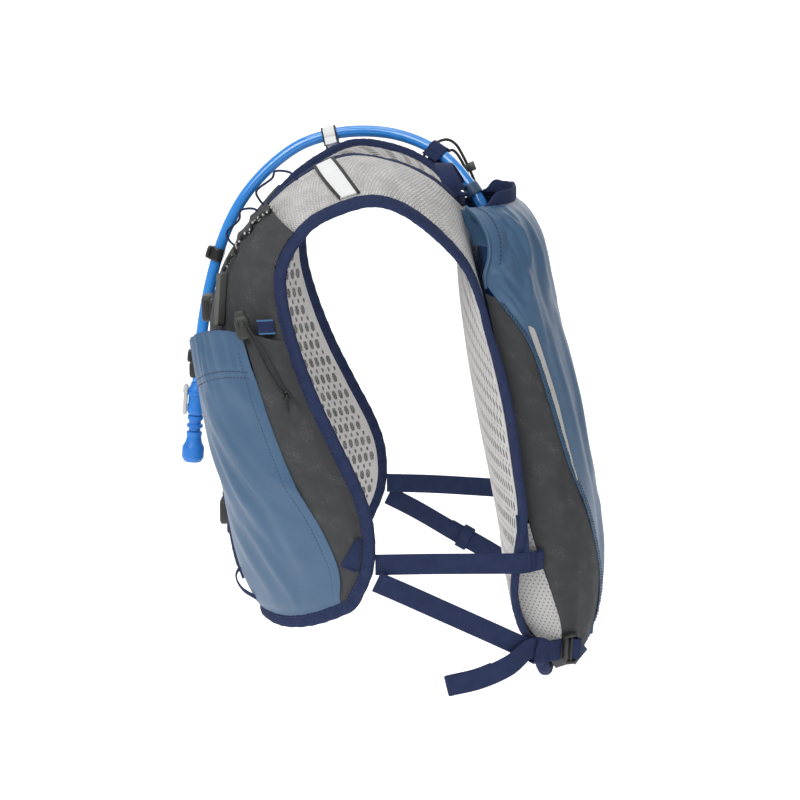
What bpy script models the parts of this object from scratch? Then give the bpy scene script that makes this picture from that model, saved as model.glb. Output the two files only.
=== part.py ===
"""Running hydration vest, worn shape, in metres with +Z up.

The wearer faces -Y and the wearer's left is +X. The origin lies midway between the shoulder straps,
at the height where they rest on the shoulders. A padded mesh body makes both shoulder straps and the
back panel in one piece. Everything else is sewn to it, so every other piece takes its place from the
surface of that body, from named sizes and from named clearances.
"""

import math

import bpy
import numpy as np
from mathutils import Matrix

# Driving sizes of the worn shape
HALF_WIDTH = 0.136  # widest half width, at the arm edge of the front straps
REACH = 0.120  # shoulder line to the front and back of the chest
DROP = 0.362  # shoulder line to the bottom hem of the back panel
FRONT_SAG = 0.009  # how far a front strap's lower end hangs below its corners
HEM_SAG = 0.015  # the same for the back panel
END_STATIONS = 1.6  # stations over which these fade out
BODY_ROW_COUNT = 37

# Walls, bands and clearances
PAD_THICKNESS = 0.006
SIDE_MARGIN = 0.03  # what a strap's band and upper pocket leave free at each edge, as a share of its width
STRAP_WIDTH_SHARES = np.linspace(SIDE_MARGIN, 1 - SIDE_MARGIN, 6)
CLOTH_THICKNESS = 0.0015
WEB_THICKNESS = 0.0016
BINDING_RADIUS = 0.0042
SEAM_GAP = 0.0006  # between cloth pieces that meet along a seam
SEAT_GAP = 0.0004  # between a piece and the surface that carries it
EDGE_GAP = 0.0006  # between the pad's edge and the tape that binds it
HEM_DROP = 0.0006  # from the bottom edges of the back to the middle of the tape below them

# Front pockets
POCKET_DEPTH = 0.031
POCKET_FOOT = 0.12  # stations on the padded body, as everywhere below
POCKET_MOUTH_IN = 5.80
POCKET_MOUTH_OUT = 6.10
POCKET_MOUTH_RISE = 0.35
UPPER_POCKET_DEPTH = 0.007
UPPER_POCKET_FOOT = 5.5
UPPER_POCKET_TOP_IN = 9.30
UPPER_POCKET_TOP_OUT = 8.72
POCKET_EDGE = 0.022  # margin between a pocket and the strap's edge, as a share of the strap's width
POCKET_SEAM_SHARE = 0.004  # half the seam's gap, as a share of the strap's width

# Reservoir sleeve on the back
SLEEVE_ROUNDNESS = 2.5  # exponent of the sleeve's superelliptic plan
SLEEVE_GAPE = 0.014  # how far the free front edge stands off the shoulder at most
SLEEVE_SEAM_SHARE = 0.006  # half a seam's gap, as a share of the way round the sleeve
RESERVOIR_ROUNDNESS = 2.3
MOUTH_BAND_WIDTH = 0.008
MOUTH_BAND_THICKNESS = 0.0024
MOUTH_BAND_END = 0.80  # share of the way round at which the band over the mouth ends

# Drinking hose and what holds it
HOSE_RADIUS = 0.0048
HOSE_LOOP_GAP = 0.0006
HOSE_LOOP_FOOT = 0.0015
HOSE_POINTS = 21
HOSE_SAMPLES = 200
CLIP_WALL = 0.0022
CLIP_LENGTH = 0.011

# Bite valve
VALVE_RADIUS = 0.0072
VALVE_LENGTH = 0.028
VALVE_FOOT_RADIUS = 0.0058
VALVE_TOP_RADIUS = 0.0040
VALVE_CHAMFER = 0.003
VALVE_TAPER = 0.006
VALVE_GAP = 0.0004
LEVER_THICKNESS = 0.0030
LEVER_WIDTH = 0.0095
LEVER_LENGTH = 0.026
LEVER_PIVOT_DROP = 0.007
LEVER_TIP_HALF_WIDTH = 0.0033
LEVER_TIP_CORNER = 0.002
NECK_LENGTH = 0.013
NECK_RADIUS = 0.0048
NECK_COLLAR_RADIUS = 0.0062
BITE_LENGTH = 0.026
BITE_RADIUS = 0.0092

# Webbing and thin cords
SIDE_STRAP_WIDTH = 0.016
STERNUM_STRAP_WIDTH = 0.015
HANG_LOOP_WIDTH = 0.014
BUCKLE_LENGTH = 0.016
BUCKLE_THICKNESS = 0.0036
BUCKLE_RIM = 0.0045
KEEPER_LENGTH = 0.010
KEEPER_WALL = 0.0015
BUCKLE_CORNER = 0.003
SLOT_SPARE = 0.001
STERNUM_BUCKLE = (0.034, 0.0085, 0.021)
STERNUM_BUCKLE_CORNER = 0.0022
TOP_CORD_RADIUS = 0.0012
DRAWCORD_RADIUS = 0.0013
LASH_CORD_RADIUS = 0.0014
LASH_LOOP_RADIUS = 0.0009
CORD_LOCK_RADIUS = 0.0038
CORD_LOCK_LENGTH = 0.014
CORD_LOCK_CHAMFER = 0.0008
CORD_LOCK_RUN = np.array([0.0, 0.37, -0.93])  # the way the two cords pass through the lock
SLOT_ROUNDING = 0.0006
TOGGLE_SIZE = (0.011, 0.018, 0.007)
TOGGLE_CORNER = 0.0018
PULL_TAB_SIZE = (0.0055, 0.036, 0.0026)
PULL_TAB_CORNER = 0.0015

# Each row is a section across the left half of the padded body, from the lower end of the front strap,
# over the shoulder, to the bottom hem of the back. "in" is the inner edge: the neck side of the strap,
# then the centre line of the back. "out" is the arm edge. across is a share of HALF_WIDTH, along of REACH
# and height of DROP. bulge is how far the middle stands out of the straight line between the edges,
# as a share of PAD_THICKNESS. The columns are in_across, in_along, in_height, out_across, out_along,
# out_height and bulge.
SECTIONS = (
    (0.456, -0.625, -0.948, 0.963, -0.033, -0.884, 1.3),
    (0.397, -0.750, -0.862, 1.007, 0.058, -0.807, 1.5),
    (0.368, -0.808, -0.768, 1.007, 0.058, -0.724, 1.6),
    (0.346, -0.842, -0.677, 0.985, -0.008, -0.652, 1.6),
    (0.324, -0.883, -0.572, 0.949, -0.142, -0.561, 1.6),
    (0.316, -0.917, -0.464, 0.912, -0.292, -0.456, 1.5),
    (0.309, -0.925, -0.359, 0.875, -0.408, -0.351, 1.3),
    (0.309, -0.883, -0.265, 0.838, -0.475, -0.254, 1.1),
    (0.331, -0.767, -0.180, 0.831, -0.458, -0.177, 1.0),
    (0.382, -0.600, -0.102, 0.853, -0.300, -0.099, 0.8),
    (0.449, -0.375, -0.030, 0.897, -0.092, -0.058, 0.7),
    (0.500, -0.067, 0.022, 0.934, 0.125, -0.039, 0.7),
    (0.500, 0.233, 0.011, 0.934, 0.325, -0.058, 0.7),
    (0.449, 0.450, -0.022, 0.868, 0.533, -0.113, 0.5),
    (0.338, 0.583, -0.061, 0.787, 0.700, -0.182, 0.2),
    (0.147, 0.658, -0.091, 0.743, 0.792, -0.262, -0.2),
    (0.000, 0.675, -0.102, 0.743, 0.833, -0.318, -0.6),
    (0.000, 0.667, -0.221, 0.757, 0.900, -0.401, -1.1),
    (0.000, 0.725, -0.387, 0.779, 0.967, -0.503, -1.2),
    (0.000, 0.808, -0.552, 0.809, 1.017, -0.608, -1.0),
    (0.000, 0.892, -0.696, 0.831, 1.058, -0.713, -0.8),
    (0.000, 0.950, -0.801, 0.838, 1.033, -0.801, -0.4),
    (0.000, 0.992, -0.884, 0.831, 1.017, -0.884, -0.2),
    (0.000, 1.100, -0.995, 0.787, 1.067, -0.953, 0.0),
    (0.000, 1.225, -1.094, 0.728, 1.133, -1.000, 0.0),
)
NECK_CENTRE = 16  # the section where the inner edge reaches the centre line of the back
LAST_SECTION = len(SECTIONS) - 1

# Each row is a level of the sleeve on the back. station and across are where its front edge meets the
# padded body, and gape how far that edge stands off, as a share of SLEEVE_GAPE. rear_along and
# rear_height are its rear line on the centre plane, as shares of REACH and DROP.
SLEEVE_ROWS = (
    (14.20, 0.210, 0.31, 1.017, -0.080),
    (14.20, 0.420, 0.78, 1.117, -0.116),
    (14.30, 0.640, 0.96, 1.192, -0.171),
    (14.45, 0.790, 0.74, 1.233, -0.227),
    (14.65, 0.910, 0.20, 1.275, -0.276),
    (15.05, 0.955, 0.12, 1.317, -0.337),
    (16.30, 0.955, 0.12, 1.367, -0.406),
    (17.60, 0.955, 0.08, 1.442, -0.497),
    (18.80, 0.955, 0.03, 1.517, -0.608),
    (19.90, 0.955, 0.03, 1.575, -0.707),
    (20.80, 0.955, 0.03, 1.600, -0.801),
    (21.80, 0.955, 0.03, 1.608, -0.890),
    (22.70, 0.955, 0.03, 1.583, -0.972),
    (23.30, 0.955, 0.12, 1.533, -1.039),
    (23.65, 0.955, 0.25, 1.450, -1.083),
    (23.90, 0.955, 0.40, 1.330, -1.104),
)
LAST_SLEEVE_ROW = len(SLEEVE_ROWS) - 1

# Seams of the sleeve, a row for each level above: a share of the way round from the rear centre line to
# the front edge. The blue panel ends at "panel" and the grey gusset at "gusset", where white mesh starts.
SLEEVE_SEAMS = (
    (1.000, 1.000),
    (1.000, 1.000),
    (1.000, 1.000),
    (1.000, 1.000),
    (1.000, 1.000),
    (0.930, 1.000),
    (0.750, 1.000),
    (0.690, 1.000),
    (0.620, 1.000),
    (0.490, 0.990),
    (0.345, 0.925),
    (0.210, 0.820),
    (0.150, 0.750),
    (0.130, 0.735),
    (0.130, 0.735),
    (0.130, 0.735),
)
GUSSET_TOP = 5.0  # the sleeve level where the grey gusset starts
MESH_TOP = 9.3  # the sleeve level where the white mesh starts

# The seam between the blue panel and the grey gusset of a front pocket: across, for stations 0 to 7.
POCKET_SEAM = (0.950, 0.890, 0.830, 0.800, 0.800, 0.820, 0.825, 0.810)

# Levels of the reservoir: half_width as a share of HALF_WIDTH, front and rear of REACH, height of DROP.
RESERVOIR_ROWS = (
    (0.240, 0.800, 0.990, -0.152),
    (0.470, 0.780, 1.060, -0.166),
    (0.580, 0.775, 1.110, -0.200),
    (0.625, 0.800, 1.170, -0.300),
    (0.650, 0.840, 1.300, -0.460),
    (0.665, 0.940, 1.420, -0.630),
    (0.665, 1.035, 1.490, -0.800),
    (0.600, 1.110, 1.470, -0.930),
    (0.420, 1.200, 1.390, -1.000),
)

# The drinking hose, from the top of the reservoir over the right shoulder to the bite valve.
HOSE_ROUTE = (
    (-0.0320, 0.1036, -0.0538), (-0.0370, 0.0960, -0.0370), (-0.0460, 0.0850, -0.0205),
    (-0.0560, 0.0720, -0.0062), (-0.0645, 0.0560, 0.0045), (-0.0705, 0.0360, 0.0126),
    (-0.0740, 0.0150, 0.0167), (-0.0755, -0.0080, 0.0170), (-0.0755, -0.0300, 0.0135),
    (-0.0750, -0.0530, 0.0050), (-0.0740, -0.0760, -0.0120), (-0.0725, -0.0965, -0.0350),
    (-0.0710, -0.1115, -0.0620), (-0.0695, -0.1218, -0.0920), (-0.0685, -0.1290, -0.1220),
    (-0.0675, -0.1338, -0.1520), (-0.0670, -0.1365, -0.1790), (-0.0668, -0.1372, -0.1890),
)

# The two runs of elastic cord from the right strap over to the sleeve's wing, beside the hose.
TOP_CORD_ROUTES = {
    "top_cord_outer": (
        (-0.0820, 0.0485, -0.0045), (-0.0822, 0.0545, 0.0025), (-0.0825, 0.0610, 0.0080),
        (-0.0818, 0.0690, 0.0098), (-0.0808, 0.0760, 0.0055), (-0.0800, 0.0815, -0.0035),
        (-0.0794, 0.0860, -0.0125), (-0.0780, 0.0895, -0.0200), (-0.0740, 0.0925, -0.0275),
    ),
    "top_cord_inner": (
        (-0.0800, 0.0640, -0.0130), (-0.0800, 0.0655, -0.0060), (-0.0802, 0.0685, -0.0005),
        (-0.0802, 0.0725, 0.0015), (-0.0798, 0.0765, -0.0015), (-0.0794, 0.0803, -0.0075),
        (-0.0789, 0.0835, -0.0135), (-0.0765, 0.0865, -0.0205), (-0.0725, 0.0895, -0.0285),
    ),
}
CORD_LOCK_PLACE = (-0.0790, 0.0847, -0.0132)
CORD_LOCK_AXIS = (0.0, 0.93, 0.37)
CORD_LOCK_SLOT = (0.0098, 0.0050)

# Thin cords on the front straps: a row is station, across and the height over the pocket's cloth.
LASH_CORD_ROUTE = (
    (9.10, 0.50, -0.0008), (8.95, 0.47, 0.0006), (8.70, 0.53, -0.0006), (8.45, 0.47, 0.0008),
    (8.20, 0.53, -0.0006), (7.95, 0.47, 0.0008), (7.70, 0.50, -0.0006), (7.48, 0.455, 0.0),
)
LASH_LOOP_ROUTES = {
    "lash_loop_upper": (
        (9.90, 0.30, -0.0024), (9.95, 0.20, 0.005), (9.85, 0.08, 0.012), (9.60, 0.00, 0.015),
        (9.35, 0.02, 0.013), (9.20, 0.14, 0.008), (9.22, 0.27, 0.001), (9.36, 0.34, -0.0018),
    ),
    "lash_loop_lower": (
        (8.85, 0.30, -0.0008), (8.90, 0.20, 0.006), (8.75, 0.08, 0.011), (8.50, 0.00, 0.013),
        (8.25, 0.02, 0.011), (8.05, 0.14, 0.007), (8.05, 0.25, 0.0015), (8.15, 0.33, -0.0008),
    ),
}
DRAWCORD_ROUTE = (
    (6.50, 0.850, 0.0082), (6.38, 0.860, 0.0090), (6.22, 0.875, 0.0082), (6.05, 0.890, 0.0050),
    (5.85, 0.900, 0.0018), (5.55, 0.915, 0.0003), (5.25, 0.930, 0.0003), (5.02, 0.942, 0.0003),
    (4.85, 0.945, 0.0003),
)

# Webbing routes on the left, as shares of HALF_WIDTH, REACH and DROP.
UPPER_STRAP_ROUTE = (
    (1.020, 0.142, -0.803), (0.995, 0.450, -0.803), (0.960, 0.750, -0.805), (0.932, 0.960, -0.807),
    (0.905, 1.085, -0.808), (0.808, 1.204, -0.808),
)
LOWER_STRAP_ROUTE = (
    (1.052, 0.150, -0.836), (1.024, 0.350, -0.868), (0.968, 0.620, -0.915), (0.918, 0.870, -0.958),
    (0.852, 1.095, -0.998), (0.785, 1.220, -1.012), (0.712, 1.322, -1.016),
)
STRAP_TAIL_ROUTE = ((0.918, 0.990, -1.030), (0.926, 0.804, -1.059), (0.934, 0.607, -1.075))
TAIL_FOLD = 0.040  # how much of the tail's end is folded back under it
TAIL_FOLD_GAP = 0.0012
STRAP_TAIL_LENGTH = 0.108
KEEPER_GAP = 0.0008
BUCKLE_BAR = 0.0026
BUCKLE_STAND_OFF = 0.0028
BUCKLE_WEB_GAP = 0.0009
WEBBING_RAISE = 0.0010

# Webbing on the chest, as shares of HALF_WIDTH, REACH and DROP.
STERNUM_STRAPS = {
    "upper": {"station": 6.40, "bow": 0.030, "inset": 0.0003},
    "lower": {"station": 1.95, "bow": 0.030, "inset": 0.0009},
}
BAND_FRONT = (10.33, 10.18)
BAND_BACK = (10.92, 10.70)
SHOULDER_LOOP_PLACE = (10.62, 0.087, 0.0131)
BACK_LOOP_PLACE = (12.95, 0.080, 0.0122)
SLEEVE_TAB_LUG = 0.0053
SLEEVE_TAB_WIDTH = 0.010
SLEEVE_TAB_OPENING = 0.12 * math.pi
SHOULDER_LOOP_WIDTH = 0.012
BACK_LOOP_WIDTH = 0.014
HOSE_LOOP_SWEEP = 0.15 * math.pi
CLIP_SWEEP = 0.70 * math.pi
AHEAD = np.array([0.0, -1.0, 0.0])
CLIP_SHARES = {"upper": 0.745, "lower": 0.952}
HANG_LOOP_SHAPE = (0.024, 0.020, 0.011)
HANG_LOOP_STATION = 14.9
HANG_LOOP_RAISE = 0.0009
KEEPER_SHARES = {"left": 0.86, "right": 0.46}
TAIL_SHARE_LEFT = 0.80
TAIL_SHARE_RIGHT = 0.36
WEBBING_SEATS = ((13.42, 0.45), (13.58, 0.37), (13.72, 0.29))
TAB_ACROSS = (0.905, 0.985)
TAB_LIFT = -0.0021
PULL_TAB_PLACE = (6.95, 0.45)
PULL_TAB_CLEARANCE = 0.0005
TOGGLE_PLACE = (6.42, 0.83)

# Colours, roughness and metallic value of the materials
MATERIALS = {
    "mesh_white": ((0.80, 0.79, 0.78), 0.95, 0.0),
    "binding_navy": ((0.045, 0.065, 0.17), 0.80, 0.0),
    "ripstop_blue": ((0.10, 0.20, 0.36), 0.60, 0.0),
    "stretch_grey": ((0.065, 0.065, 0.07), 0.85, 0.0),
    "webbing_navy": ((0.03, 0.045, 0.12), 0.80, 0.0),
    "hose_blue": ((0.02, 0.22, 0.80), 0.25, 0.0),
    "valve_blue": ((0.03, 0.25, 0.78), 0.45, 0.0),
    "valve_grey": ((0.62, 0.62, 0.60), 0.50, 0.0),
    "hard_black": ((0.02, 0.02, 0.02), 0.50, 0.0),
    "hard_grey": ((0.12, 0.125, 0.11), 0.55, 0.0),
    "cord_black": ((0.015, 0.015, 0.015), 0.70, 0.0),
    "band_white": ((0.82, 0.82, 0.82), 0.60, 0.0),
    "reservoir_blue": ((0.02, 0.13, 0.50), 0.30, 0.0),
}


def clear_scene():
    for thing in list(bpy.data.objects):
        bpy.data.objects.remove(thing)


def make_collection(name):
    collection = bpy.data.collections.new(name)
    bpy.context.scene.collection.children.link(collection)
    return collection


def make_materials():
    made = {}
    for name, (colour, roughness, metallic) in MATERIALS.items():
        material = bpy.data.materials.new(name)
        material.use_nodes = True
        shader = material.node_tree.nodes["Principled BSDF"]
        shader.inputs["Base Color"].default_value = (*colour, 1.0)
        shader.inputs["Roughness"].default_value = roughness
        shader.inputs["Metallic"].default_value = metallic
        made[name] = material
    return made


clear_scene()
COLLECTION = make_collection("running_hydration_vest")
CUTTERS = make_collection("cutters")
MATERIAL = make_materials()


# Curves and surfaces


def spline(rows, at):
    """The Catmull-Rom curve through a table's rows, at row numbers that need not be whole."""
    rows = np.asarray(rows, float)
    if rows.ndim == 1:
        rows = rows[:, None]
    at = np.clip(np.asarray(at, float), 0, len(rows) - 1)
    i = np.minimum(at.astype(int), len(rows) - 2)
    t = (at - i)[..., None]
    padded = np.vstack([2 * rows[0] - rows[1], rows, 2 * rows[-1] - rows[-2]])
    a, b, c, d = (padded[i + k] for k in range(4))
    return 0.5 * (2 * b + (c - a) * t + (2 * a - 5 * b + 4 * c - d) * t**2 + (3 * b - a - 3 * c + d) * t**3)


def column(rows, number, at):
    return spline([row[number] for row in rows], at)[..., 0]


def unit(vectors):
    return vectors / np.maximum(np.linalg.norm(vectors, axis=-1, keepdims=True), 1e-9)


def scaled(rows):
    """A route given as shares of the driving sizes, in metres."""
    return np.asarray(rows, float) * np.array([HALF_WIDTH, REACH, DROP])


def body_plain(station, across):
    """The middle surface of the padded body, left half: a section's two edges joined by a shallow arch."""
    sizes = np.array([HALF_WIDTH, REACH, DROP])
    row = spline(SECTIONS, station)
    inner, outer = row[..., 0:3] * sizes, row[..., 3:6] * sizes
    inner[..., 0] = np.maximum(inner[..., 0], 0.0)
    step = 0.2
    before, after = spline(SECTIONS, station - step), spline(SECTIONS, station + step)
    run = (after[..., 0:3] + after[..., 3:6] - before[..., 0:3] - before[..., 3:6]) * sizes
    out = unit(np.cross(outer - inner, run))
    arch = 4 * across * (1 - across)
    point = inner + (outer - inner) * across[..., None]
    point = point + out * row[..., 6:7] * PAD_THICKNESS * arch[..., None]
    at_front = np.clip(1 - station / END_STATIONS, 0, 1) ** 2
    at_back = np.clip(1 - (LAST_SECTION - station) / END_STATIONS, 0, 1) ** 2
    point[..., 2] -= (FRONT_SAG * at_front + HEM_SAG * at_back) * arch
    return point


def body_axes(station, across):
    """Unit vectors of the padded body's middle surface: to the arm edge, up the strap, and outwards."""
    step = 0.02
    low, high = np.clip(across - step, 0, 1), np.clip(across + step, 0, 1)
    early, late = np.clip(station - step, 0, LAST_SECTION), np.clip(station + step, 0, LAST_SECTION)
    to_arm = unit(body_plain(station, high) - body_plain(station, low))
    onward = unit(body_plain(late, across) - body_plain(early, across))
    return to_arm, onward, unit(np.cross(to_arm, onward))


def body_surface(station, across, lift=0.0):
    """A point on the padded body's middle surface, raised by lift along its outward normal."""
    station, across = np.broadcast_arrays(np.asarray(station, float), np.asarray(across, float))
    out = body_axes(station, across)[2]
    return body_plain(station, across) + out * np.asarray(lift)[..., None]


FACE = PAD_THICKNESS / 2 + SEAT_GAP  # lift of a piece's underside that lies on the padded body


def pocket_lift(station, across):
    """Lift of a front pocket's inner face: a dome, sewn down at its sides and its foot and open on top."""
    dome = np.sin(math.pi * np.clip(across, 0.0, 1.0)) ** 0.8
    rise = np.sin(0.5 * math.pi * np.clip((station - POCKET_FOOT) / 4.6, 0, 1)) ** 0.9
    return FACE + POCKET_DEPTH * dome * rise


def pocket_surface(station, across):
    return body_surface(station, across, pocket_lift(station, across) + CLOTH_THICKNESS)


def upper_pocket_lift(station, across):
    """Lift of the stretch pocket on the upper strap: a low dome that flattens towards the shoulder."""
    dome = np.sin(math.pi * np.clip(across, 0.0, 1.0)) ** 0.9
    fade = np.clip((UPPER_POCKET_TOP_IN - station) / 1.6, 0, 1)
    return FACE + UPPER_POCKET_DEPTH * dome * fade


def upper_pocket_surface(station, across):
    return body_surface(station, across, upper_pocket_lift(station, across) + CLOTH_THICKNESS)


def sleeve_front(level):
    """The sleeve's front edge on the padded body."""
    station, across, gape = (column(SLEEVE_ROWS, k, level) for k in range(3))
    return body_surface(station, across, FACE + np.maximum(gape, 0.0) * SLEEVE_GAPE)


def sleeve_surface(level, aside):
    """The sleeve's inner face: each level is a superelliptic quarter, from the rear line to the front edge.

    aside runs from 0 at the centre of the back to 1 at the front edge.
    """
    level, aside = np.broadcast_arrays(np.asarray(level, float), np.asarray(aside, float))
    front = sleeve_front(level)
    angle = 0.5 * math.pi * aside
    power = 2 / SLEEVE_ROUNDNESS
    beside, behind = np.abs(np.sin(angle)) ** power, np.abs(np.cos(angle)) ** power
    point = np.empty(front.shape)
    point[..., 0] = front[..., 0] * beside
    point[..., 1] = front[..., 1] + (column(SLEEVE_ROWS, 3, level) * REACH - front[..., 1]) * behind
    point[..., 2] = front[..., 2] + (column(SLEEVE_ROWS, 4, level) * DROP - front[..., 2]) * behind
    return point


def frame_at(surface, first, second, lift=0.0):
    """A place on a surface with three unit directions: sideways, onwards and outwards."""
    step = 0.02

    def at(a, b):
        return surface(np.array(float(a)), np.array(float(b)))

    onward = unit(at(first + step, second) - at(first - step, second))
    sideways = at(first, second + step) - at(first, second - step)
    out = unit(np.cross(sideways, onward))
    return at(first, second) + out * lift, np.cross(onward, out), onward, out


def resampled(points, count, start=0.0, end=1.0):
    """count points evenly spaced along a smooth curve through points, between two shares of its length."""
    dense = spline(points, np.linspace(0, len(points) - 1, 60 * len(points)))
    along = np.concatenate([[0.0], np.cumsum(np.linalg.norm(np.diff(dense, axis=0), axis=1))])
    at = np.linspace(start, end, count) * along[-1]
    return np.stack([np.interp(at, along, dense[:, k]) for k in range(3)], 1)


def directions(path):
    return unit(np.gradient(np.asarray(path, float), axis=0))


# Object makers

SIDES = ("left", "right")
FLIP = {"left": np.array([1.0, 1.0, 1.0]), "right": np.array([-1.0, 1.0, 1.0])}


def add_object(name, data, material):
    made = bpy.data.objects.new(name, data)
    data.materials.append(MATERIAL[material])
    COLLECTION.objects.link(made)
    return made


def grid_mesh(name, grid):
    """A mesh of quads over a grid of points. Its faces look along columns crossed with rows."""
    rows, columns = grid.shape[:2]
    index = np.arange(rows * columns).reshape(rows, columns)
    quads = np.stack([index[:-1, :-1], index[:-1, 1:], index[1:, 1:], index[1:, :-1]], -1).reshape(-1, 4)
    mesh = bpy.data.meshes.new(name)
    mesh.from_pydata(grid.reshape(-1, 3).tolist(), [], quads.tolist())
    mesh.shade_smooth()
    return mesh


def for_side(grid, side):
    """A grid of the left half, or its mirror image with the columns reversed to keep facing outwards."""
    return grid if side == "left" else (grid * FLIP["right"])[:, ::-1]


def whole(half):
    """Both halves of a grid whose first column lies on the centre plane."""
    return np.concatenate([for_side(half, "right"), half[:, 1:]], 1)


def sheet(name, grid, thickness, material, offset=1.0):
    """A wall of even thickness that grows outwards from a grid of points."""
    made = add_object(name, grid_mesh(name, grid), material)
    wall = made.modifiers.new("Wall", "SOLIDIFY")
    wall.thickness = thickness
    wall.offset = offset
    return made


def ribbon(name, path, sideways, width, material):
    """Flat webbing along a path. sideways is the direction of its width at each point."""
    path = np.asarray(path, float)
    half = 0.5 * width * unit(np.broadcast_to(np.asarray(sideways, float), path.shape))
    return sheet(name, np.stack([path - half, path + half], 1), WEB_THICKNESS, material, offset=0.0)


def tube(name, points, radius, material):
    """A round cord or hose along a polyline, with closed ends."""
    curve = bpy.data.curves.new(name, "CURVE")
    curve.dimensions = "3D"
    curve.bevel_depth = radius
    curve.bevel_resolution = 2
    curve.use_fill_caps = True
    line = curve.splines.new("POLY")
    line.points.add(len(points) - 1)
    for target, point in zip(line.points, points):
        target.co = (*point, 1.0)
    return add_object(name, curve, material)


def plate(name, outlines, thickness, material):
    """A flat part from closed outlines in its own XY: the first is the rim and the others are slots."""
    curve = bpy.data.curves.new(name, "CURVE")
    curve.dimensions = "2D"
    curve.fill_mode = "BOTH"
    curve.extrude = thickness / 2
    for outline in outlines:
        line = curve.splines.new("POLY")
        line.points.add(len(outline) - 1)
        line.use_cyclic_u = True
        for target, (x, y) in zip(line.points, outline):
            target.co = (x, y, 0.0, 1.0)
    return add_object(name, curve, material)


def adopt(name, material):
    """Takes the primitive that was just added into the vest's collection."""
    made = bpy.context.object
    made.name = made.data.name = name
    for collection in list(made.users_collection):
        collection.objects.unlink(made)
    COLLECTION.objects.link(made)
    made.data.materials.append(MATERIAL[material])
    return made


def rounded_box(name, size, material, bevel):
    bpy.ops.mesh.primitive_cube_add(size=1.0)
    made = adopt(name, material)
    for vertex in made.data.vertices:
        vertex.co = [side * length for side, length in zip(vertex.co, size)]
    edge = made.modifiers.new("Edge", "BEVEL")
    edge.width = bevel
    edge.segments = 1
    return made


def turned(name, profile, material, steps=12):
    """A turned piece about its own Z. profile is radius and height, bottom up, with its ends on the axis."""
    mesh = bpy.data.meshes.new(name)
    points = [(radius, 0.0, height) for radius, height in reversed(profile)]
    mesh.from_pydata(points, [(k, k + 1) for k in range(len(points) - 1)], [])
    made = add_object(name, mesh, material)
    screw = made.modifiers.new("Turn", "SCREW")
    screw.steps = screw.render_steps = steps
    screw.use_merge_vertices = True
    screw.merge_threshold = 0.00001
    return made


def rectangle(width, height, corner, middle=(0.0, 0.0)):
    """A rectangle with cut corners."""
    x, y = width / 2, height / 2
    points = (
        (x - corner, y), (corner - x, y), (-x, y - corner), (-x, corner - y),
        (corner - x, -y), (x - corner, -y), (x, corner - y), (x, y - corner),
    )
    return [(middle[0] + px, middle[1] + py) for px, py in points]


def place_on(made, place, x_axis, z_axis, side="left"):
    """Turns an object's X and Z along two directions, on the left or mirrored to the right."""
    place, x_axis, z_axis = (np.asarray(value) * FLIP[side] for value in (place, x_axis, z_axis))
    z_axis = unit(z_axis)
    y_axis = unit(np.cross(z_axis, x_axis))
    x_axis = np.cross(y_axis, z_axis)
    rows = [[*(float(axis[k]) for axis in (x_axis, y_axis, z_axis)), float(place[k])] for k in range(3)]
    made.matrix_world = Matrix([*rows, [0.0, 0.0, 0.0, 1.0]])
    return made


# Padded body and the tape that binds its edges

BODY_ROWS = np.linspace(0, LAST_SECTION, BODY_ROW_COUNT)
BODY_COLUMNS = np.linspace(0, 1, 6)
BINDING_OFFSET = BINDING_RADIUS + EDGE_GAP


def make_body():
    station, across = np.meshgrid(BODY_ROWS, BODY_COLUMNS, indexing="ij")
    points = body_surface(station, across)
    on_centre = (station >= NECK_CENTRE) & (across == 0)
    points[on_centre, 0] = 0.0
    made = add_object("mesh_body", grid_mesh("mesh_body", points), "mesh_white")
    mirror = made.modifiers.new("Other half", "MIRROR")
    mirror.use_axis[0] = True
    mirror.merge_threshold = 0.0001
    wall = made.modifiers.new("Padding", "SOLIDIFY")
    wall.thickness = PAD_THICKNESS
    wall.offset = 0.0


def edge_line(stations, across):
    """The tape's centre line beside the inner edge (across 0) or the arm edge (across 1)."""
    across = np.full(len(stations), float(across))
    to_arm, onward, _ = body_axes(stations, across)
    square = unit(to_arm - onward * np.sum(to_arm * onward, axis=-1, keepdims=True))
    outward = square if across[0] > 0.5 else -square
    return body_plain(stations, across) + outward * BINDING_OFFSET


def foot_line():
    """The tape's centre line round the lower end of a front strap, from the arm edge to the inner edge."""
    across = BODY_COLUMNS[::-1]
    zero = np.zeros(len(across))
    to_arm, onward, out = body_axes(zero, across)
    below = unit(np.cross(to_arm, out))
    below = below * np.sign(-np.sum(below * onward, axis=-1, keepdims=True))
    return body_plain(zero, across) + below * BINDING_OFFSET


def hem_line():
    """The tape's centre line along the bottom of the back, under the padded body and the sleeve."""
    aside = np.array([0.0, 0.2, 0.38, 0.55, 0.7, 0.84])
    sleeve = sleeve_surface(LAST_SLEEVE_ROW, aside)
    across = np.clip(sleeve[:, 0] / (SECTIONS[-1][3] * HALF_WIDTH), 0, 1)
    pad = body_plain(np.full(len(aside), float(LAST_SECTION)), across)
    line = 0.5 * (sleeve + pad)
    line[:, 2] = np.minimum(sleeve[:, 2], pad[:, 2]) - HEM_DROP
    return line


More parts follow.
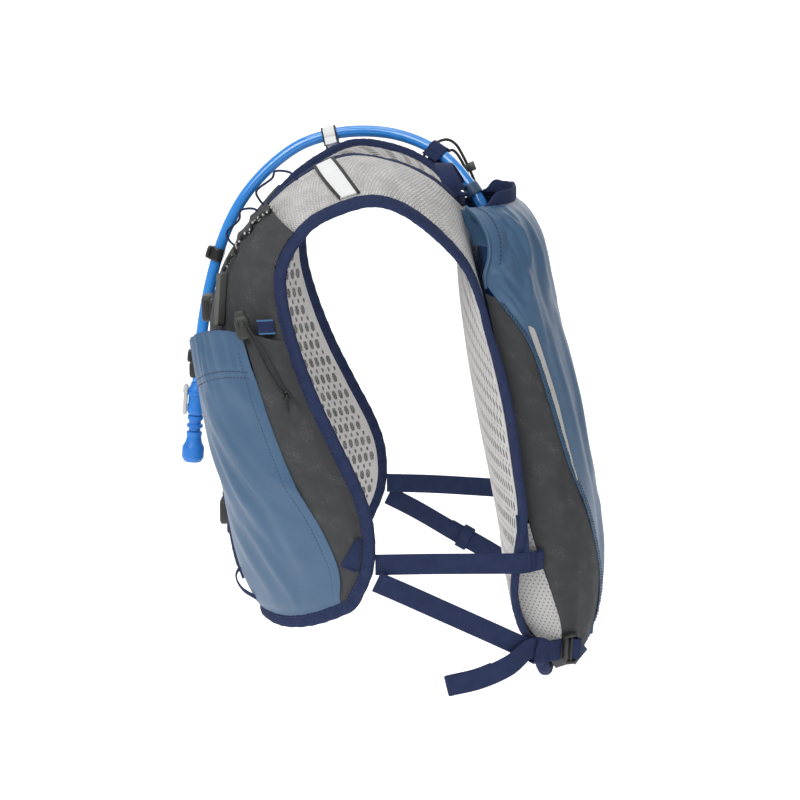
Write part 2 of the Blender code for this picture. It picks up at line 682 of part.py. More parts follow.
def make_bindings():
    arm_rows = BODY_ROWS[BODY_ROWS < LAST_SECTION - 0.3]
    arm = np.vstack([edge_line(arm_rows[::-1], 1.0), foot_line()])
    neck_rows = BODY_ROWS[(BODY_ROWS > 0.6) & (BODY_ROWS <= NECK_CENTRE - 0.5)]
    half = edge_line(neck_rows, 0.0)
    centre = body_plain(np.array([float(NECK_CENTRE)]), np.zeros(1)) + [[0.0, 0.0, BINDING_OFFSET]]
    hem = hem_line()
    for side in SIDES:
        tube(f"armhole_binding_{side}", arm * FLIP[side], BINDING_RADIUS, "binding_navy")
    neck = np.vstack([half, centre, half[::-1] * FLIP["right"]])
    tube("neck_binding", neck, BINDING_RADIUS, "binding_navy")
    tube("hem_binding", np.vstack([hem[::-1], hem[1:] * FLIP["right"]]), BINDING_RADIUS, "binding_navy")


# Front pockets


def pocket_mouth(across):
    """The station of a front pocket's mouth, highest near the arm."""
    level = POCKET_MOUTH_IN + (POCKET_MOUTH_OUT - POCKET_MOUTH_IN) * across
    return level + POCKET_MOUTH_RISE * np.sin(math.pi * across**1.6)


def pocket_part(foot, share_from, share_to, rows, columns):
    """A grid over part of a front pocket, between two seams given as functions of the station."""
    up, part = np.meshgrid(np.linspace(0, 1, rows), np.linspace(0, 1, columns), indexing="ij")
    station = foot + (POCKET_MOUTH_IN - foot) * up
    for _ in range(3):
        across = share_from(station) + (share_to(station) - share_from(station)) * part
        station = foot + (pocket_mouth(across) - foot) * up
    return body_surface(station, across, pocket_lift(station, across))


def pocket_seam(station):
    return np.minimum(spline(POCKET_SEAM, station)[..., 0], 1 - POCKET_EDGE - 2 * POCKET_SEAM_SHARE)


def make_front_pockets():
    panel = pocket_part(
        POCKET_FOOT, lambda s: 0 * s + POCKET_EDGE, lambda s: pocket_seam(s) - POCKET_SEAM_SHARE, 9, 8
    )
    gusset = pocket_part(
        POCKET_FOOT, lambda s: pocket_seam(s) + POCKET_SEAM_SHARE, lambda s: 0 * s + 1 - POCKET_EDGE, 9, 3
    )
    for side in SIDES:
        sheet(f"pocket_panel_{side}", for_side(panel, side), CLOTH_THICKNESS, "ripstop_blue")
        sheet(f"pocket_gusset_{side}", for_side(gusset, side), CLOTH_THICKNESS, "stretch_grey")


def make_upper_pockets():
    share, across = np.meshgrid(np.linspace(0, 1, 7), STRAP_WIDTH_SHARES, indexing="ij")
    top = UPPER_POCKET_TOP_IN + (UPPER_POCKET_TOP_OUT - UPPER_POCKET_TOP_IN) * across
    station = UPPER_POCKET_FOOT + (top - UPPER_POCKET_FOOT) * share
    grid = body_surface(station, across, upper_pocket_lift(station, across))
    for side in SIDES:
        sheet(f"upper_pocket_{side}", for_side(grid, side), CLOTH_THICKNESS, "stretch_grey")


# Reservoir sleeve and the reservoir in it


SLEEVE_LEVELS = np.concatenate([
    np.arange(0.0, 5.0), np.arange(5.0, 8.0, 0.5), np.arange(8.0, LAST_SLEEVE_ROW + 1),
])


def seam_aside(number, level):
    return np.clip(column(SLEEVE_SEAMS, number, level), 0.0, 1.0)


def make_sleeve():
    level, part = np.meshgrid(SLEEVE_LEVELS, np.linspace(0, 1, 7), indexing="ij")
    edge = seam_aside(0, level) - np.where(level > GUSSET_TOP, SLEEVE_SEAM_SHARE, 0.0)
    sheet("reservoir_sleeve", whole(sleeve_surface(level, edge * part)), CLOTH_THICKNESS, "ripstop_blue")
    gusset_levels = SLEEVE_LEVELS[SLEEVE_LEVELS > GUSSET_TOP]
    level, part = np.meshgrid(gusset_levels, np.linspace(0, 1, 5), indexing="ij")
    first = seam_aside(0, level) + SLEEVE_SEAM_SHARE
    last = seam_aside(1, level) - np.where(level > MESH_TOP, SLEEVE_SEAM_SHARE, 0.0)
    gusset = sleeve_surface(level, first + (last - first) * part)
    mesh_levels = SLEEVE_LEVELS[SLEEVE_LEVELS > MESH_TOP]
    level, part = np.meshgrid(mesh_levels, np.linspace(0, 1, 4), indexing="ij")
    first = seam_aside(1, level) + SLEEVE_SEAM_SHARE
    cheek = sleeve_surface(level, first + (1 - first) * part)
    for side in SIDES:
        sheet(f"sleeve_gusset_{side}", for_side(gusset, side), CLOTH_THICKNESS, "stretch_grey")
        sheet(f"side_mesh_{side}", for_side(cheek, side), CLOTH_THICKNESS, "mesh_white")


def make_mouth_binding():
    rim = sleeve_surface(0.0, np.linspace(0, MOUTH_BAND_END, 9))
    bottom = rim + np.array([0.0, 0.0, SEAM_GAP + CLOTH_THICKNESS])
    top = bottom + np.array([0.0, 0.0, MOUTH_BAND_WIDTH])
    sheet("mouth_binding", whole(np.stack([top, bottom])), MOUTH_BAND_THICKNESS, "binding_navy")


def make_reservoir():
    """A filled pouch: superelliptic rings stacked from its top down, closed by flat ends."""
    turn = np.linspace(0, 2 * math.pi, 16, endpoint=False)
    power = 2 / RESERVOIR_ROUNDNESS
    round_x = np.sign(np.cos(turn)) * np.abs(np.cos(turn)) ** power
    round_y = np.sign(np.sin(turn)) * np.abs(np.sin(turn)) ** power
    rings = []
    for half_width, front, rear, height in RESERVOIR_ROWS:
        x = half_width * HALF_WIDTH * round_x
        y = 0.5 * REACH * (front + rear) + 0.5 * REACH * (rear - front) * round_y
        rings.append(np.stack([x, y, np.full(16, height * DROP)], 1))
    points = np.concatenate(rings)
    faces = [list(range(15, -1, -1))[::-1], list(range(len(points) - 16, len(points)))[::-1]]
    for ring in range(len(rings) - 1):
        for k in range(16):
            low, high = ring * 16 + k, ring * 16 + (k + 1) % 16
            faces.append([low, low + 16, high + 16, high])
    mesh = bpy.data.meshes.new("reservoir")
    mesh.from_pydata(points.tolist(), [], faces)
    mesh.shade_smooth()
    add_object("reservoir", mesh, "reservoir_blue")


# Hose, its loops and clips, and the bite valve


def hose_axis():
    """The direction in which the hose leaves its lower end, and the end itself."""
    path = resampled(HOSE_ROUTE, HOSE_POINTS)
    return path[-1], unit(path[-1] - path[-2])


def hose_frame(station, across, lift):
    """A place on the right strap's hose, as on the left side: its centre, its direction and outwards."""
    place, _, onward, out = frame_at(body_surface, station, across)
    centre = place + out * lift
    path = resampled(HOSE_ROUTE, HOSE_SAMPLES) * FLIP["right"]
    nearest = int(np.argmin(np.linalg.norm(path - centre, axis=1)))
    run = directions(path)[nearest]
    return path[nearest], run, unit(out - run * np.dot(out, run))


def hose_loop(name, where, width, material):
    """A band that comes up from the right strap, passes over the hose and goes down again."""
    centre, run, out = hose_frame(*where)
    beside = np.cross(run, out)
    radius = HOSE_RADIUS + HOSE_LOOP_GAP + WEB_THICKNESS / 2
    foot_depth = where[2] - FACE - WEB_THICKNESS / 2 - SEAT_GAP
    turn = np.linspace(-HOSE_LOOP_SWEEP, math.pi + HOSE_LOOP_SWEEP, 10)
    arc = np.stack([radius * np.cos(turn), radius * np.sin(turn)], 1)
    foot = radius + HOSE_LOOP_FOOT
    near_foot = [[foot, -foot_depth], [radius, -foot_depth]]
    far_foot = [[-radius, -foot_depth], [-foot, -foot_depth]]
    profile = np.vstack([near_foot, arc, far_foot])
    path = centre + profile[:, :1] * beside + profile[:, 1:] * out
    ribbon(name, path * FLIP["right"], run * FLIP["right"], width, material)


def ring_points(radius, start, end, count):
    return [(radius * math.cos(t), radius * math.sin(t)) for t in np.linspace(start, end, count)]


def hose_tab():
    """A cloth ring round the hose with a lug towards the tip of the sleeve's right wing."""
    before, after = resampled(HOSE_ROUTE, HOSE_POINTS)[1:3]
    centre = 0.5 * (before + after)
    wing = sleeve_surface(np.array(0.0), np.array(1.0)) * FLIP["right"] - centre
    inner = HOSE_RADIUS + HOSE_LOOP_GAP
    outer = inner + WEB_THICKNESS
    rim = ring_points(outer, SLEEVE_TAB_OPENING, 2 * math.pi - SLEEVE_TAB_OPENING, 12)
    rim += [(outer + SLEEVE_TAB_LUG, rim[-1][1]), (outer + SLEEVE_TAB_LUG, rim[0][1])]
    hole = ring_points(inner, 0.0, 2 * math.pi, 13)[:-1]
    tab = plate("hose_tab", [rim, hole], SLEEVE_TAB_WIDTH, "ripstop_blue")
    run = after - before
    place_on(tab, centre, wing - run * np.dot(wing, run) / np.dot(run, run), run)


def hose_clip(name, share, out):
    """A clip of moulded plastic round the hose: a ring open to the rear, with a flat face in front."""
    path = resampled(HOSE_ROUTE, HOSE_SAMPLES)
    at = int(share * (HOSE_SAMPLES - 1))
    inner = HOSE_RADIUS + HOSE_LOOP_GAP
    outer = inner + CLIP_WALL
    rim = ring_points(outer, -CLIP_SWEEP, CLIP_SWEEP, 11) + ring_points(inner, CLIP_SWEEP, -CLIP_SWEEP, 11)
    made = plate(name, [rim], CLIP_LENGTH, "hard_black")
    run = directions(path)[at]
    return place_on(made, path[at], out - run * np.dot(out, run), run)


def make_hose():
    tube("drinking_hose", resampled(HOSE_ROUTE, HOSE_POINTS), HOSE_RADIUS, "hose_blue")
    hose_loop("hose_loop_shoulder", SHOULDER_LOOP_PLACE, SHOULDER_LOOP_WIDTH, "band_white")
    hose_loop("hose_loop_back", BACK_LOOP_PLACE, BACK_LOOP_WIDTH, "webbing_navy")
    hose_tab()
    for name, share in CLIP_SHARES.items():
        hose_clip(f"hose_clip_{name}", share, AHEAD)


def make_valve():
    end, run = hose_axis()
    ahead = unit(AHEAD - run * np.dot(AHEAD, run))
    up = -run
    lever_face = VALVE_RADIUS + VALVE_GAP + LEVER_THICKNESS / 2
    half = VALVE_LENGTH / 2
    housing = turned("valve_housing", [
        (0.0, -half), (VALVE_FOOT_RADIUS, -half), (VALVE_RADIUS, -half + VALVE_CHAMFER),
        (VALVE_RADIUS, half - VALVE_TAPER), (VALVE_TOP_RADIUS, half), (0.0, half),
    ], "valve_blue")
    centre = end + run * (VALVE_GAP + half)
    place_on(housing, centre, ahead, up)
    pivot = end + run * (VALVE_GAP + LEVER_PIVOT_DROP) + ahead * lever_face
    arm = LEVER_LENGTH - LEVER_WIDTH / 2
    round_end = ring_points(LEVER_WIDTH / 2, 0.0, math.pi, 8)
    tip_top = -arm + LEVER_TIP_CORNER
    tip_flat = LEVER_TIP_HALF_WIDTH - LEVER_TIP_CORNER / 2
    tip = [
        (-LEVER_TIP_HALF_WIDTH, tip_top), (-tip_flat, -arm),
        (tip_flat, -arm), (LEVER_TIP_HALF_WIDTH, tip_top),
    ]
    lever = plate("valve_lever", [round_end + tip], LEVER_THICKNESS, "valve_grey")
    place_on(lever, pivot, np.cross(up, ahead), ahead)
    neck_top = centre + run * (half + VALVE_GAP)
    neck = turned("valve_neck", [
        (0.0, -NECK_LENGTH), (NECK_RADIUS, -NECK_LENGTH), (NECK_RADIUS, -0.6 * NECK_LENGTH),
        (NECK_COLLAR_RADIUS, -0.45 * NECK_LENGTH), (NECK_COLLAR_RADIUS, 0.0), (0.0, 0.0),
    ], "valve_grey")
    place_on(neck, neck_top, ahead, up)
    bite_top = neck_top + run * (NECK_LENGTH + VALVE_GAP)
    bite = turned("bite_tip", [
        (0.0, -BITE_LENGTH), (0.70 * BITE_RADIUS, -BITE_LENGTH), (BITE_RADIUS, -0.80 * BITE_LENGTH),
        (BITE_RADIUS, -0.52 * BITE_LENGTH), (0.66 * BITE_RADIUS, -0.36 * BITE_LENGTH),
        (0.60 * BITE_RADIUS, 0.0), (0.0, 0.0),
    ], "valve_blue")
    place_on(bite, bite_top, ahead, up)


# Small pieces on the shoulders and the top


def make_shoulder_bands():
    share, across = np.meshgrid(np.linspace(0, 1, 3), STRAP_WIDTH_SHARES, indexing="ij")
    front = BAND_FRONT[0] + (BAND_FRONT[1] - BAND_FRONT[0]) * across
    back = BAND_BACK[0] + (BAND_BACK[1] - BAND_BACK[0]) * across
    grid = body_surface(front + (back - front) * share, across, FACE)
    sheet("shoulder_band_left", grid, CLOTH_THICKNESS, "band_white")


def make_hang_loop():
    """A short loop of webbing that stands up from the middle of the neck edge."""
    turn = np.linspace(0, math.pi, 11)
    half_span, rise, lean = HANG_LOOP_SHAPE
    neck = edge_line(np.array([HANG_LOOP_STATION]), 0.0)[0]
    foot = neck[2] + BINDING_RADIUS + WEB_THICKNESS / 2 + HANG_LOOP_RAISE
    height = np.sin(turn) ** 0.75
    path = np.stack([half_span * np.cos(turn), neck[1] - lean * height, foot + rise * height], 1)
    ribbon("hang_loop", path, np.array([0.0, -1.0, 0.0]), HANG_LOOP_WIDTH, "webbing_navy")


def make_top_cord():
    for name, route in TOP_CORD_ROUTES.items():
        tube(name, resampled(route, 13), TOP_CORD_RADIUS, "cord_black")
    half, side = CORD_LOCK_LENGTH / 2, CORD_LOCK_RADIUS - CORD_LOCK_CHAMFER
    lock = turned("cord_lock", [
        (0.0, -half), (side, -half), (CORD_LOCK_RADIUS, CORD_LOCK_CHAMFER - half),
        (CORD_LOCK_RADIUS, half - CORD_LOCK_CHAMFER), (side, half), (0.0, half),
    ], "hard_grey", steps=12)
    cut_size = (8 * CORD_LOCK_RADIUS, CORD_LOCK_SLOT[1], CORD_LOCK_SLOT[0])
    slot = rounded_box("cord_lock_slot", cut_size, "hard_grey", SLOT_ROUNDING)
    for made in (lock, slot):
        place_on(made, CORD_LOCK_PLACE, CORD_LOCK_RUN, np.array(CORD_LOCK_AXIS))
    for collection in list(slot.users_collection):
        collection.objects.unlink(slot)
    CUTTERS.objects.link(slot)
    slot.hide_render = True
    slot.display_type = "WIRE"
    cut = lock.modifiers.new("Slot", "BOOLEAN")
    cut.operation = "DIFFERENCE"
    cut.object = slot


def make_lash_cord():
    """The speckled cord on the left strap with its pull tab, and two thin loops beside it."""
    def above_pocket(row, radius):
        station, across, height = row
        return frame_at(upper_pocket_surface, station, across, height + radius + SEAT_GAP)[0]

    route = [above_pocket(row, LASH_CORD_RADIUS) for row in LASH_CORD_ROUTE]
    tube("lash_cord", resampled(route, 22), LASH_CORD_RADIUS, "cord_black")
    for name, rows in LASH_LOOP_ROUTES.items():
        route = [above_pocket(row, LASH_LOOP_RADIUS) for row in rows]
        tube(name, resampled(route, 14), LASH_LOOP_RADIUS, "webbing_navy")
    width, length, thick = PULL_TAB_SIZE
    place, _, onward, out = frame_at(upper_pocket_surface, *PULL_TAB_PLACE, thick / 2 + PULL_TAB_CLEARANCE)
    tab = plate("pull_tab", [rectangle(length, width, PULL_TAB_CORNER)], thick, "hard_grey")
    place_on(tab, place, onward, out)


def make_drawcords():
    size_x, size_y, size_z = TOGGLE_SIZE
    for side in SIDES:
        place, _, onward, out = frame_at(pocket_surface, *TOGGLE_PLACE, SEAT_GAP + size_z / 2)
        toggle = rounded_box(f"cord_toggle_{side}", (size_y, size_x, size_z), "hard_grey", TOGGLE_CORNER)
        place_on(toggle, place, onward, out, side)
        lift = TAB_LIFT + WEB_THICKNESS / 2
        tab = [frame_at(pocket_surface, TOGGLE_PLACE[0], a, lift)[0] for a in np.linspace(*TAB_ACROSS, 4)]
        name = f"toggle_tab_{side}"
        ribbon(name, np.array(tab) * FLIP[side], onward * FLIP[side], TOGGLE_SIZE[0], "webbing_navy")
        route = [
            frame_at(pocket_surface, station, across, height + DRAWCORD_RADIUS + SEAT_GAP)[0]
            for station, across, height in DRAWCORD_ROUTE
        ]
        tube(f"drawcord_{side}", resampled(route, 18) * FLIP[side], DRAWCORD_RADIUS, "cord_black")


# Webbing under the arms and across the chest


def upright(path):
    """The direction of a side strap's width: as upright as the strap's run allows."""
    run = directions(path)
    up = np.array([0.0, 0.0, 1.0])
    return up - run * (run @ up)[:, None]


def folded_back(path):
    """The tail's route with its end turned back under itself, on the side of the body."""
    out = unit(np.cross(upright(path), directions(path)))
    run = directions(path)[-1]
    lower = resampled(path, 5, 1 - TAIL_FOLD / STRAP_TAIL_LENGTH, 0.985)[::-1]
    gap = WEB_THICKNESS + TAIL_FOLD_GAP
    bend = path[-1] + run * gap / 2 - out[-1] * gap / 2
    return np.vstack([path, bend, lower - out[-1] * gap])


def make_buckle(side, end, run, up, out):
    """A ladder buckle at the strap's end: a frame with two slots, and the webbing that anchors it."""
    rim = rectangle(BUCKLE_LENGTH, SIDE_STRAP_WIDTH + 2 * BUCKLE_RIM, BUCKLE_CORNER)
    slot = 0.5 * BUCKLE_LENGTH - 1.5 * BUCKLE_BAR
    height = SIDE_STRAP_WIDTH + SLOT_SPARE
    slots = [
        rectangle(slot, height, SLOT_ROUNDING, (0.5 * sign * (slot + BUCKLE_BAR), 0.0)) for sign in (-1, 1)
    ]
    buckle = plate(f"ladder_buckle_{side}", [rim, *slots], BUCKLE_THICKNESS, "hard_black")
    centre = end + run * (BUCKLE_LENGTH / 2 + SEAT_GAP) + out * BUCKLE_STAND_OFF
    place_on(buckle, centre, run, out, side)
    lift = CLOTH_THICKNESS + WEBBING_RAISE + WEB_THICKNESS / 2
    seats = [frame_at(sleeve_surface, level, aside, lift) for level, aside in WEBBING_SEATS]
    path = np.vstack([centre + run * (BUCKLE_LENGTH / 2 + BUCKLE_WEB_GAP), *[seat[0] for seat in seats]])
    width = np.vstack([up, *[-seat[2] for seat in seats]])
    name = f"buckle_webbing_{side}"
    path, width = resampled(path, 7) * FLIP[side], resampled(width, 7) * FLIP[side]
    ribbon(name, path, width, SIDE_STRAP_WIDTH, "webbing_navy")


def make_keeper(side, strap):
    """A band round the strap and its tail."""
    height, depth = SIDE_STRAP_WIDTH + 2 * KEEPER_GAP, 2 * WEB_THICKNESS + 3 * KEEPER_GAP
    slot = rectangle(height, depth, SLOT_ROUNDING)
    rim = rectangle(height + 2 * KEEPER_WALL, depth + 2 * KEEPER_WALL, 2 * SLOT_ROUNDING)
    keeper = plate(f"strap_keeper_{side}", [rim, slot], KEEPER_LENGTH, "webbing_navy")
    at = int(KEEPER_SHARES[side] * (len(strap) - 1))
    up, run = unit(upright(strap))[at], directions(strap)[at]
    out = np.cross(run, up)
    place_on(keeper, strap[at] + out * (WEB_THICKNESS + KEEPER_GAP) / 2, up, run, side)


def make_side_straps():
    upper = resampled(scaled(UPPER_STRAP_ROUTE), 13)
    lower = resampled(scaled(LOWER_STRAP_ROUTE), 13)
    up, run = upright(lower), directions(lower)
    out = unit(np.cross(run, up))
    for side in SIDES:
        flip = FLIP[side]
        name = f"upper_side_strap_{side}"
        ribbon(name, upper * flip, upright(upper) * flip, SIDE_STRAP_WIDTH, "webbing_navy")
        ribbon(f"lower_side_strap_{side}", lower * flip, up * flip, SIDE_STRAP_WIDTH, "webbing_navy")
        make_buckle(side, lower[-1], run[-1], up[-1], out[-1])
        make_keeper(side, resampled(lower, 101))
    beside = lower + out * (WEB_THICKNESS + KEEPER_GAP)
    leaving = resampled(beside, 5, TAIL_SHARE_LEFT, 0.98)[::-1]
    tail = resampled(np.vstack([leaving, scaled(STRAP_TAIL_ROUTE)]), 13)
    path = folded_back(tail)
    width = upright(tail)
    width = np.vstack([width, np.repeat(width[-1:], len(path) - len(tail), 0)])
    ribbon("strap_tail_left", path, width, SIDE_STRAP_WIDTH, "webbing_navy")
    flip = FLIP["right"]
    spare = resampled(beside, 11, TAIL_SHARE_RIGHT, 0.98)
    ribbon("strap_tail_right", spare * flip, upright(spare) * flip, SIDE_STRAP_WIDTH, "webbing_navy")


def make_sternum_straps():
    for name, values in STERNUM_STRAPS.items():
        station = np.array([values["station"]])
        start = edge_line(station, 0.0)[0]
        half = start[0] - BINDING_RADIUS - values["inset"]
        share = np.linspace(-1, 1, 9)
        path = np.stack([
            half * share, start[1] - values["bow"] * REACH * (1 - share**2), np.full(9, start[2]),
        ], 1)
        ribbon(f"sternum_strap_{name}", path, (0.0, 0.0, 1.0), STERNUM_STRAP_WIDTH, "webbing_navy")
        buckle = rounded_box(f"sternum_buckle_{name}", STERNUM_BUCKLE, "hard_black", STERNUM_BUCKLE_CORNER)
        front = start[1] - values["bow"] * REACH - WEB_THICKNESS / 2 - SEAT_GAP - STERNUM_BUCKLE[1] / 2
        buckle.location = (0.0, front, start[2])


make_body()
make_bindings()
make_front_pockets()
make_upper_pockets()
make_sleeve()
make_mouth_binding()
make_reservoir()
make_hose()
make_valve()
make_shoulder_bands()
make_hang_loop()
make_top_cord()
make_lash_cord()
make_drawcords()
make_side_straps()
make_sternum_straps()
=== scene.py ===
# %% [markdown]
# # A running hydration vest, dressed
#
# The imported solids give every place and size. This notebook puts the real surfaces on them: perforated
# spacer mesh, folded tape, thin cloth with its creases, webbing, cords, a hose with its bite valve, and the
# stitching that holds it all together. Metres, +Z up. The wearer faces -Y and the wearer's left is +X.
# The first cell loads the frame.
# The first cell loads the frame and notes its box, so that the last one can compare.

import math

import bpy
import numpy as np
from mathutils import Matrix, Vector


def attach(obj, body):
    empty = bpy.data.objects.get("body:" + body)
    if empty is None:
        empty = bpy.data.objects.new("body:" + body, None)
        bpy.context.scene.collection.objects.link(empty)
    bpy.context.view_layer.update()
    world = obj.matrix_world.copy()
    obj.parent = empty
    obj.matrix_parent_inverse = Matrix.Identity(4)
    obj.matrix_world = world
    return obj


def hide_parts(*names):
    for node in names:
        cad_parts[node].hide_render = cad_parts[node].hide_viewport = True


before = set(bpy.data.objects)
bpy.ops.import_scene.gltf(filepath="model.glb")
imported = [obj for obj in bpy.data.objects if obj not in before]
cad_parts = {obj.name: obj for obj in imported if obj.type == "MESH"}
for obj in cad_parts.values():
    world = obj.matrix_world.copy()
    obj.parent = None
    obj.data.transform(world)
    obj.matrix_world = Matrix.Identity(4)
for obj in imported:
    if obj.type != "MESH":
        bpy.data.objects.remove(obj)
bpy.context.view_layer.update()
print("frame:", len(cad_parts), "nodes")

# %% [markdown]
# ## Camera, light and floor
#
# The camera looks across the vest from the wearer's left, a little from above. Four soft panels light it:
# the key towards the vest's front, a weak fill past the camera, one from behind and one above. The room
# adds a little pale light.

# %%
AZIMUTH, ELEVATION, DISTANCE = 91.5, 11.0, 2.0
AIM = Vector((0.0, 0.032, -0.191))
LENS = 112.5
FLOOR_HEIGHT = -0.52


def look_from(azimuth, elevation):
    a, e = math.radians(azimuth), math.radians(elevation)
    return Vector((math.sin(a) * math.cos(e), -math.cos(a) * math.cos(e), math.sin(e)))


def add_camera():
    data = bpy.data.cameras.new("camera")
    data.lens = LENS
    camera = bpy.data.objects.new("camera", data)
    back = look_from(AZIMUTH, ELEVATION)
    camera.location = AIM + back * DISTANCE
    camera.rotation_mode = "QUATERNION"
    camera.rotation_quaternion = (-back).to_track_quat("-Z", "Y")
    bpy.context.scene.collection.objects.link(camera)
    bpy.context.scene.camera = camera


# columns: name, azimuth, elevation, distance, width, power
PANELS = (
    ("key", 58.0, 40.0, 1.9, 1.0, 17.0),
    ("fill", 128.0, 22.0, 2.1, 1.6, 3.5),
    ("back", 250.0, 40.0, 1.9, 1.4, 6.0),
    ("top", 10.0, 80.0, 1.8, 1.0, 8.0),
)


def add_lights():
    for name, azimuth, elevation, distance, width, power in PANELS:
        data = bpy.data.lights.new(name, "AREA")
        data.shape = "SQUARE"
        data.size = width
        data.energy = power
        light = bpy.data.objects.new(name, data)
        direction = look_from(azimuth, elevation)
        light.location = AIM + direction * distance
        light.rotation_mode = "QUATERNION"
        light.rotation_quaternion = (-direction).to_track_quat("-Z", "Y")
        bpy.context.scene.collection.objects.link(light)
    world = bpy.context.scene.world or bpy.data.worlds.new("world")
    bpy.context.scene.world = world
    world.use_nodes = True
    shader = world.node_tree.nodes["Background"]
    shader.inputs["Color"].default_value = (0.97, 0.98, 1.0, 1.0)
    shader.inputs["Strength"].default_value = 0.25
    bpy.context.scene.view_settings.view_transform = "Standard"


add_camera()
add_lights()
print("camera and", len(PANELS), "light panels")

# %% [markdown]
# ## Curves and surfaces
#
# Everything is sewn to one padded body, so every place is given on it as (station, across, lift). Stations
# run up a front strap, over the shoulder and down the back. across runs from the neck side to the arm side.
# A Catmull-Rom curve joins the rows of each table.

# %%
HALF_WIDTH, REACH, DROP = 0.136, 0.120, 0.362
FRONT_SAG, HEM_SAG, END_STATIONS = 0.009, 0.015, 1.6
PAD_THICKNESS = 0.006
CLOTH = 0.0015
WEB = 0.0016
SEAT = 0.0004
SIZES = np.array([HALF_WIDTH, REACH, DROP])

# columns: in_across, in_along, in_height, out_across, out_along, out_height, bulge
SECTIONS = (
    (0.456, -0.625, -0.948, 0.963, -0.033, -0.884, 1.3),
    (0.397, -0.750, -0.862, 1.007, 0.058, -0.807, 1.5),
    (0.368, -0.808, -0.768, 1.007, 0.058, -0.724, 1.6),
    (0.346, -0.842, -0.677, 0.985, -0.008, -0.652, 1.6),
    (0.324, -0.883, -0.572, 0.949, -0.142, -0.561, 1.6),
    (0.316, -0.917, -0.464, 0.912, -0.292, -0.456, 1.5),
    (0.309, -0.925, -0.359, 0.875, -0.408, -0.351, 1.3),
    (0.309, -0.883, -0.265, 0.838, -0.475, -0.254, 1.1),
    (0.331, -0.767, -0.180, 0.831, -0.458, -0.177, 1.0),
    (0.382, -0.600, -0.102, 0.853, -0.300, -0.099, 0.8),
    (0.449, -0.375, -0.030, 0.897, -0.092, -0.058, 0.7),
    (0.500, -0.067, 0.022, 0.934, 0.125, -0.039, 0.7),
    (0.500, 0.233, 0.011, 0.934, 0.325, -0.058, 0.7),
    (0.449, 0.450, -0.022, 0.868, 0.533, -0.113, 0.5),
    (0.338, 0.583, -0.061, 0.787, 0.700, -0.182, 0.2),
    (0.147, 0.658, -0.091, 0.743, 0.792, -0.262, -0.2),
    (0.000, 0.675, -0.102, 0.743, 0.833, -0.318, -0.6),
    (0.000, 0.667, -0.221, 0.757, 0.900, -0.401, -1.1),
    (0.000, 0.725, -0.387, 0.779, 0.967, -0.503, -1.2),
    (0.000, 0.808, -0.552, 0.809, 1.017, -0.608, -1.0),
    (0.000, 0.892, -0.696, 0.831, 1.058, -0.713, -0.8),
    (0.000, 0.950, -0.801, 0.838, 1.033, -0.801, -0.4),
    (0.000, 0.992, -0.884, 0.831, 1.017, -0.884, -0.2),
    (0.000, 1.100, -0.995, 0.787, 1.067, -0.953, 0.0),
    (0.000, 1.225, -1.094, 0.728, 1.133, -1.000, 0.0),
)
NECK_CENTRE, LAST = 16, len(SECTIONS) - 1

# columns: station, across, gape, rear_along, rear_height
SLEEVE_ROWS = (
    (14.20, 0.210, 0.31, 1.017, -0.080),
    (14.20, 0.420, 0.78, 1.117, -0.116),
    (14.30, 0.640, 0.96, 1.192, -0.171),
    (14.45, 0.790, 0.74, 1.233, -0.227),
    (14.65, 0.910, 0.20, 1.275, -0.276),
    (15.05, 0.955, 0.12, 1.317, -0.337),
    (16.30, 0.955, 0.12, 1.367, -0.406),
    (17.60, 0.955, 0.08, 1.442, -0.497),
    (18.80, 0.955, 0.03, 1.517, -0.608),
    (19.90, 0.955, 0.03, 1.575, -0.707),
    (20.80, 0.955, 0.03, 1.600, -0.801),
    (21.80, 0.955, 0.03, 1.608, -0.890),
    (22.70, 0.955, 0.03, 1.583, -0.972),
    (23.30, 0.955, 0.12, 1.533, -1.039),
    (23.65, 0.955, 0.25, 1.450, -1.083),
    (23.90, 0.955, 0.40, 1.330, -1.104),
)
# columns: panel, gusset (where those pieces of the sleeve end, from its rear line to its front edge)
SLEEVE_SEAMS = (
    (1.000, 1.000), (1.000, 1.000), (1.000, 1.000), (1.000, 1.000), (1.000, 1.000), (0.930, 1.000),
    (0.750, 1.000), (0.690, 1.000), (0.620, 1.000), (0.490, 0.990), (0.345, 0.925), (0.210, 0.820),
    (0.150, 0.750), (0.130, 0.735), (0.130, 0.735), (0.130, 0.735),
)
SLEEVE_ROUNDNESS, SLEEVE_GAPE, LAST_LEVEL = 2.5, 0.014, len(SLEEVE_ROWS) - 1
FACE = PAD_THICKNESS / 2 + SEAT
SIDES = {"left": 1.0, "right": -1.0}


def spline(rows, at):
    """P(t) = (2b + (c-a)t + (2a-5b+4c-d)t^2 + (3b-a-3c+d)t^3) / 2 between rows b and c."""
    rows = np.asarray(rows, float)
    rows = rows[:, None] if rows.ndim == 1 else rows
    at = np.clip(np.asarray(at, float), 0, len(rows) - 1)
    i = np.minimum(at.astype(int), len(rows) - 2)
    t = (at - i)[..., None]
    padded = np.vstack([2 * rows[0] - rows[1], rows, 2 * rows[-1] - rows[-2]])
    a, b, c, d = (padded[i + k] for k in range(4))
    return 0.5 * (2 * b + (c - a) * t + (2 * a - 5 * b + 4 * c - d) * t**2 + (3 * b - a - 3 * c + d) * t**3)


def column(rows, number, at):
    return spline([row[number] for row in rows], at)[..., 0]


def unit(vectors):
    return vectors / np.maximum(np.linalg.norm(vectors, axis=-1, keepdims=True), 1e-9)


def smoothstep(x, low, high):
    t = np.clip((x - low) / (high - low), 0, 1)
    return t * t * (3 - 2 * t)


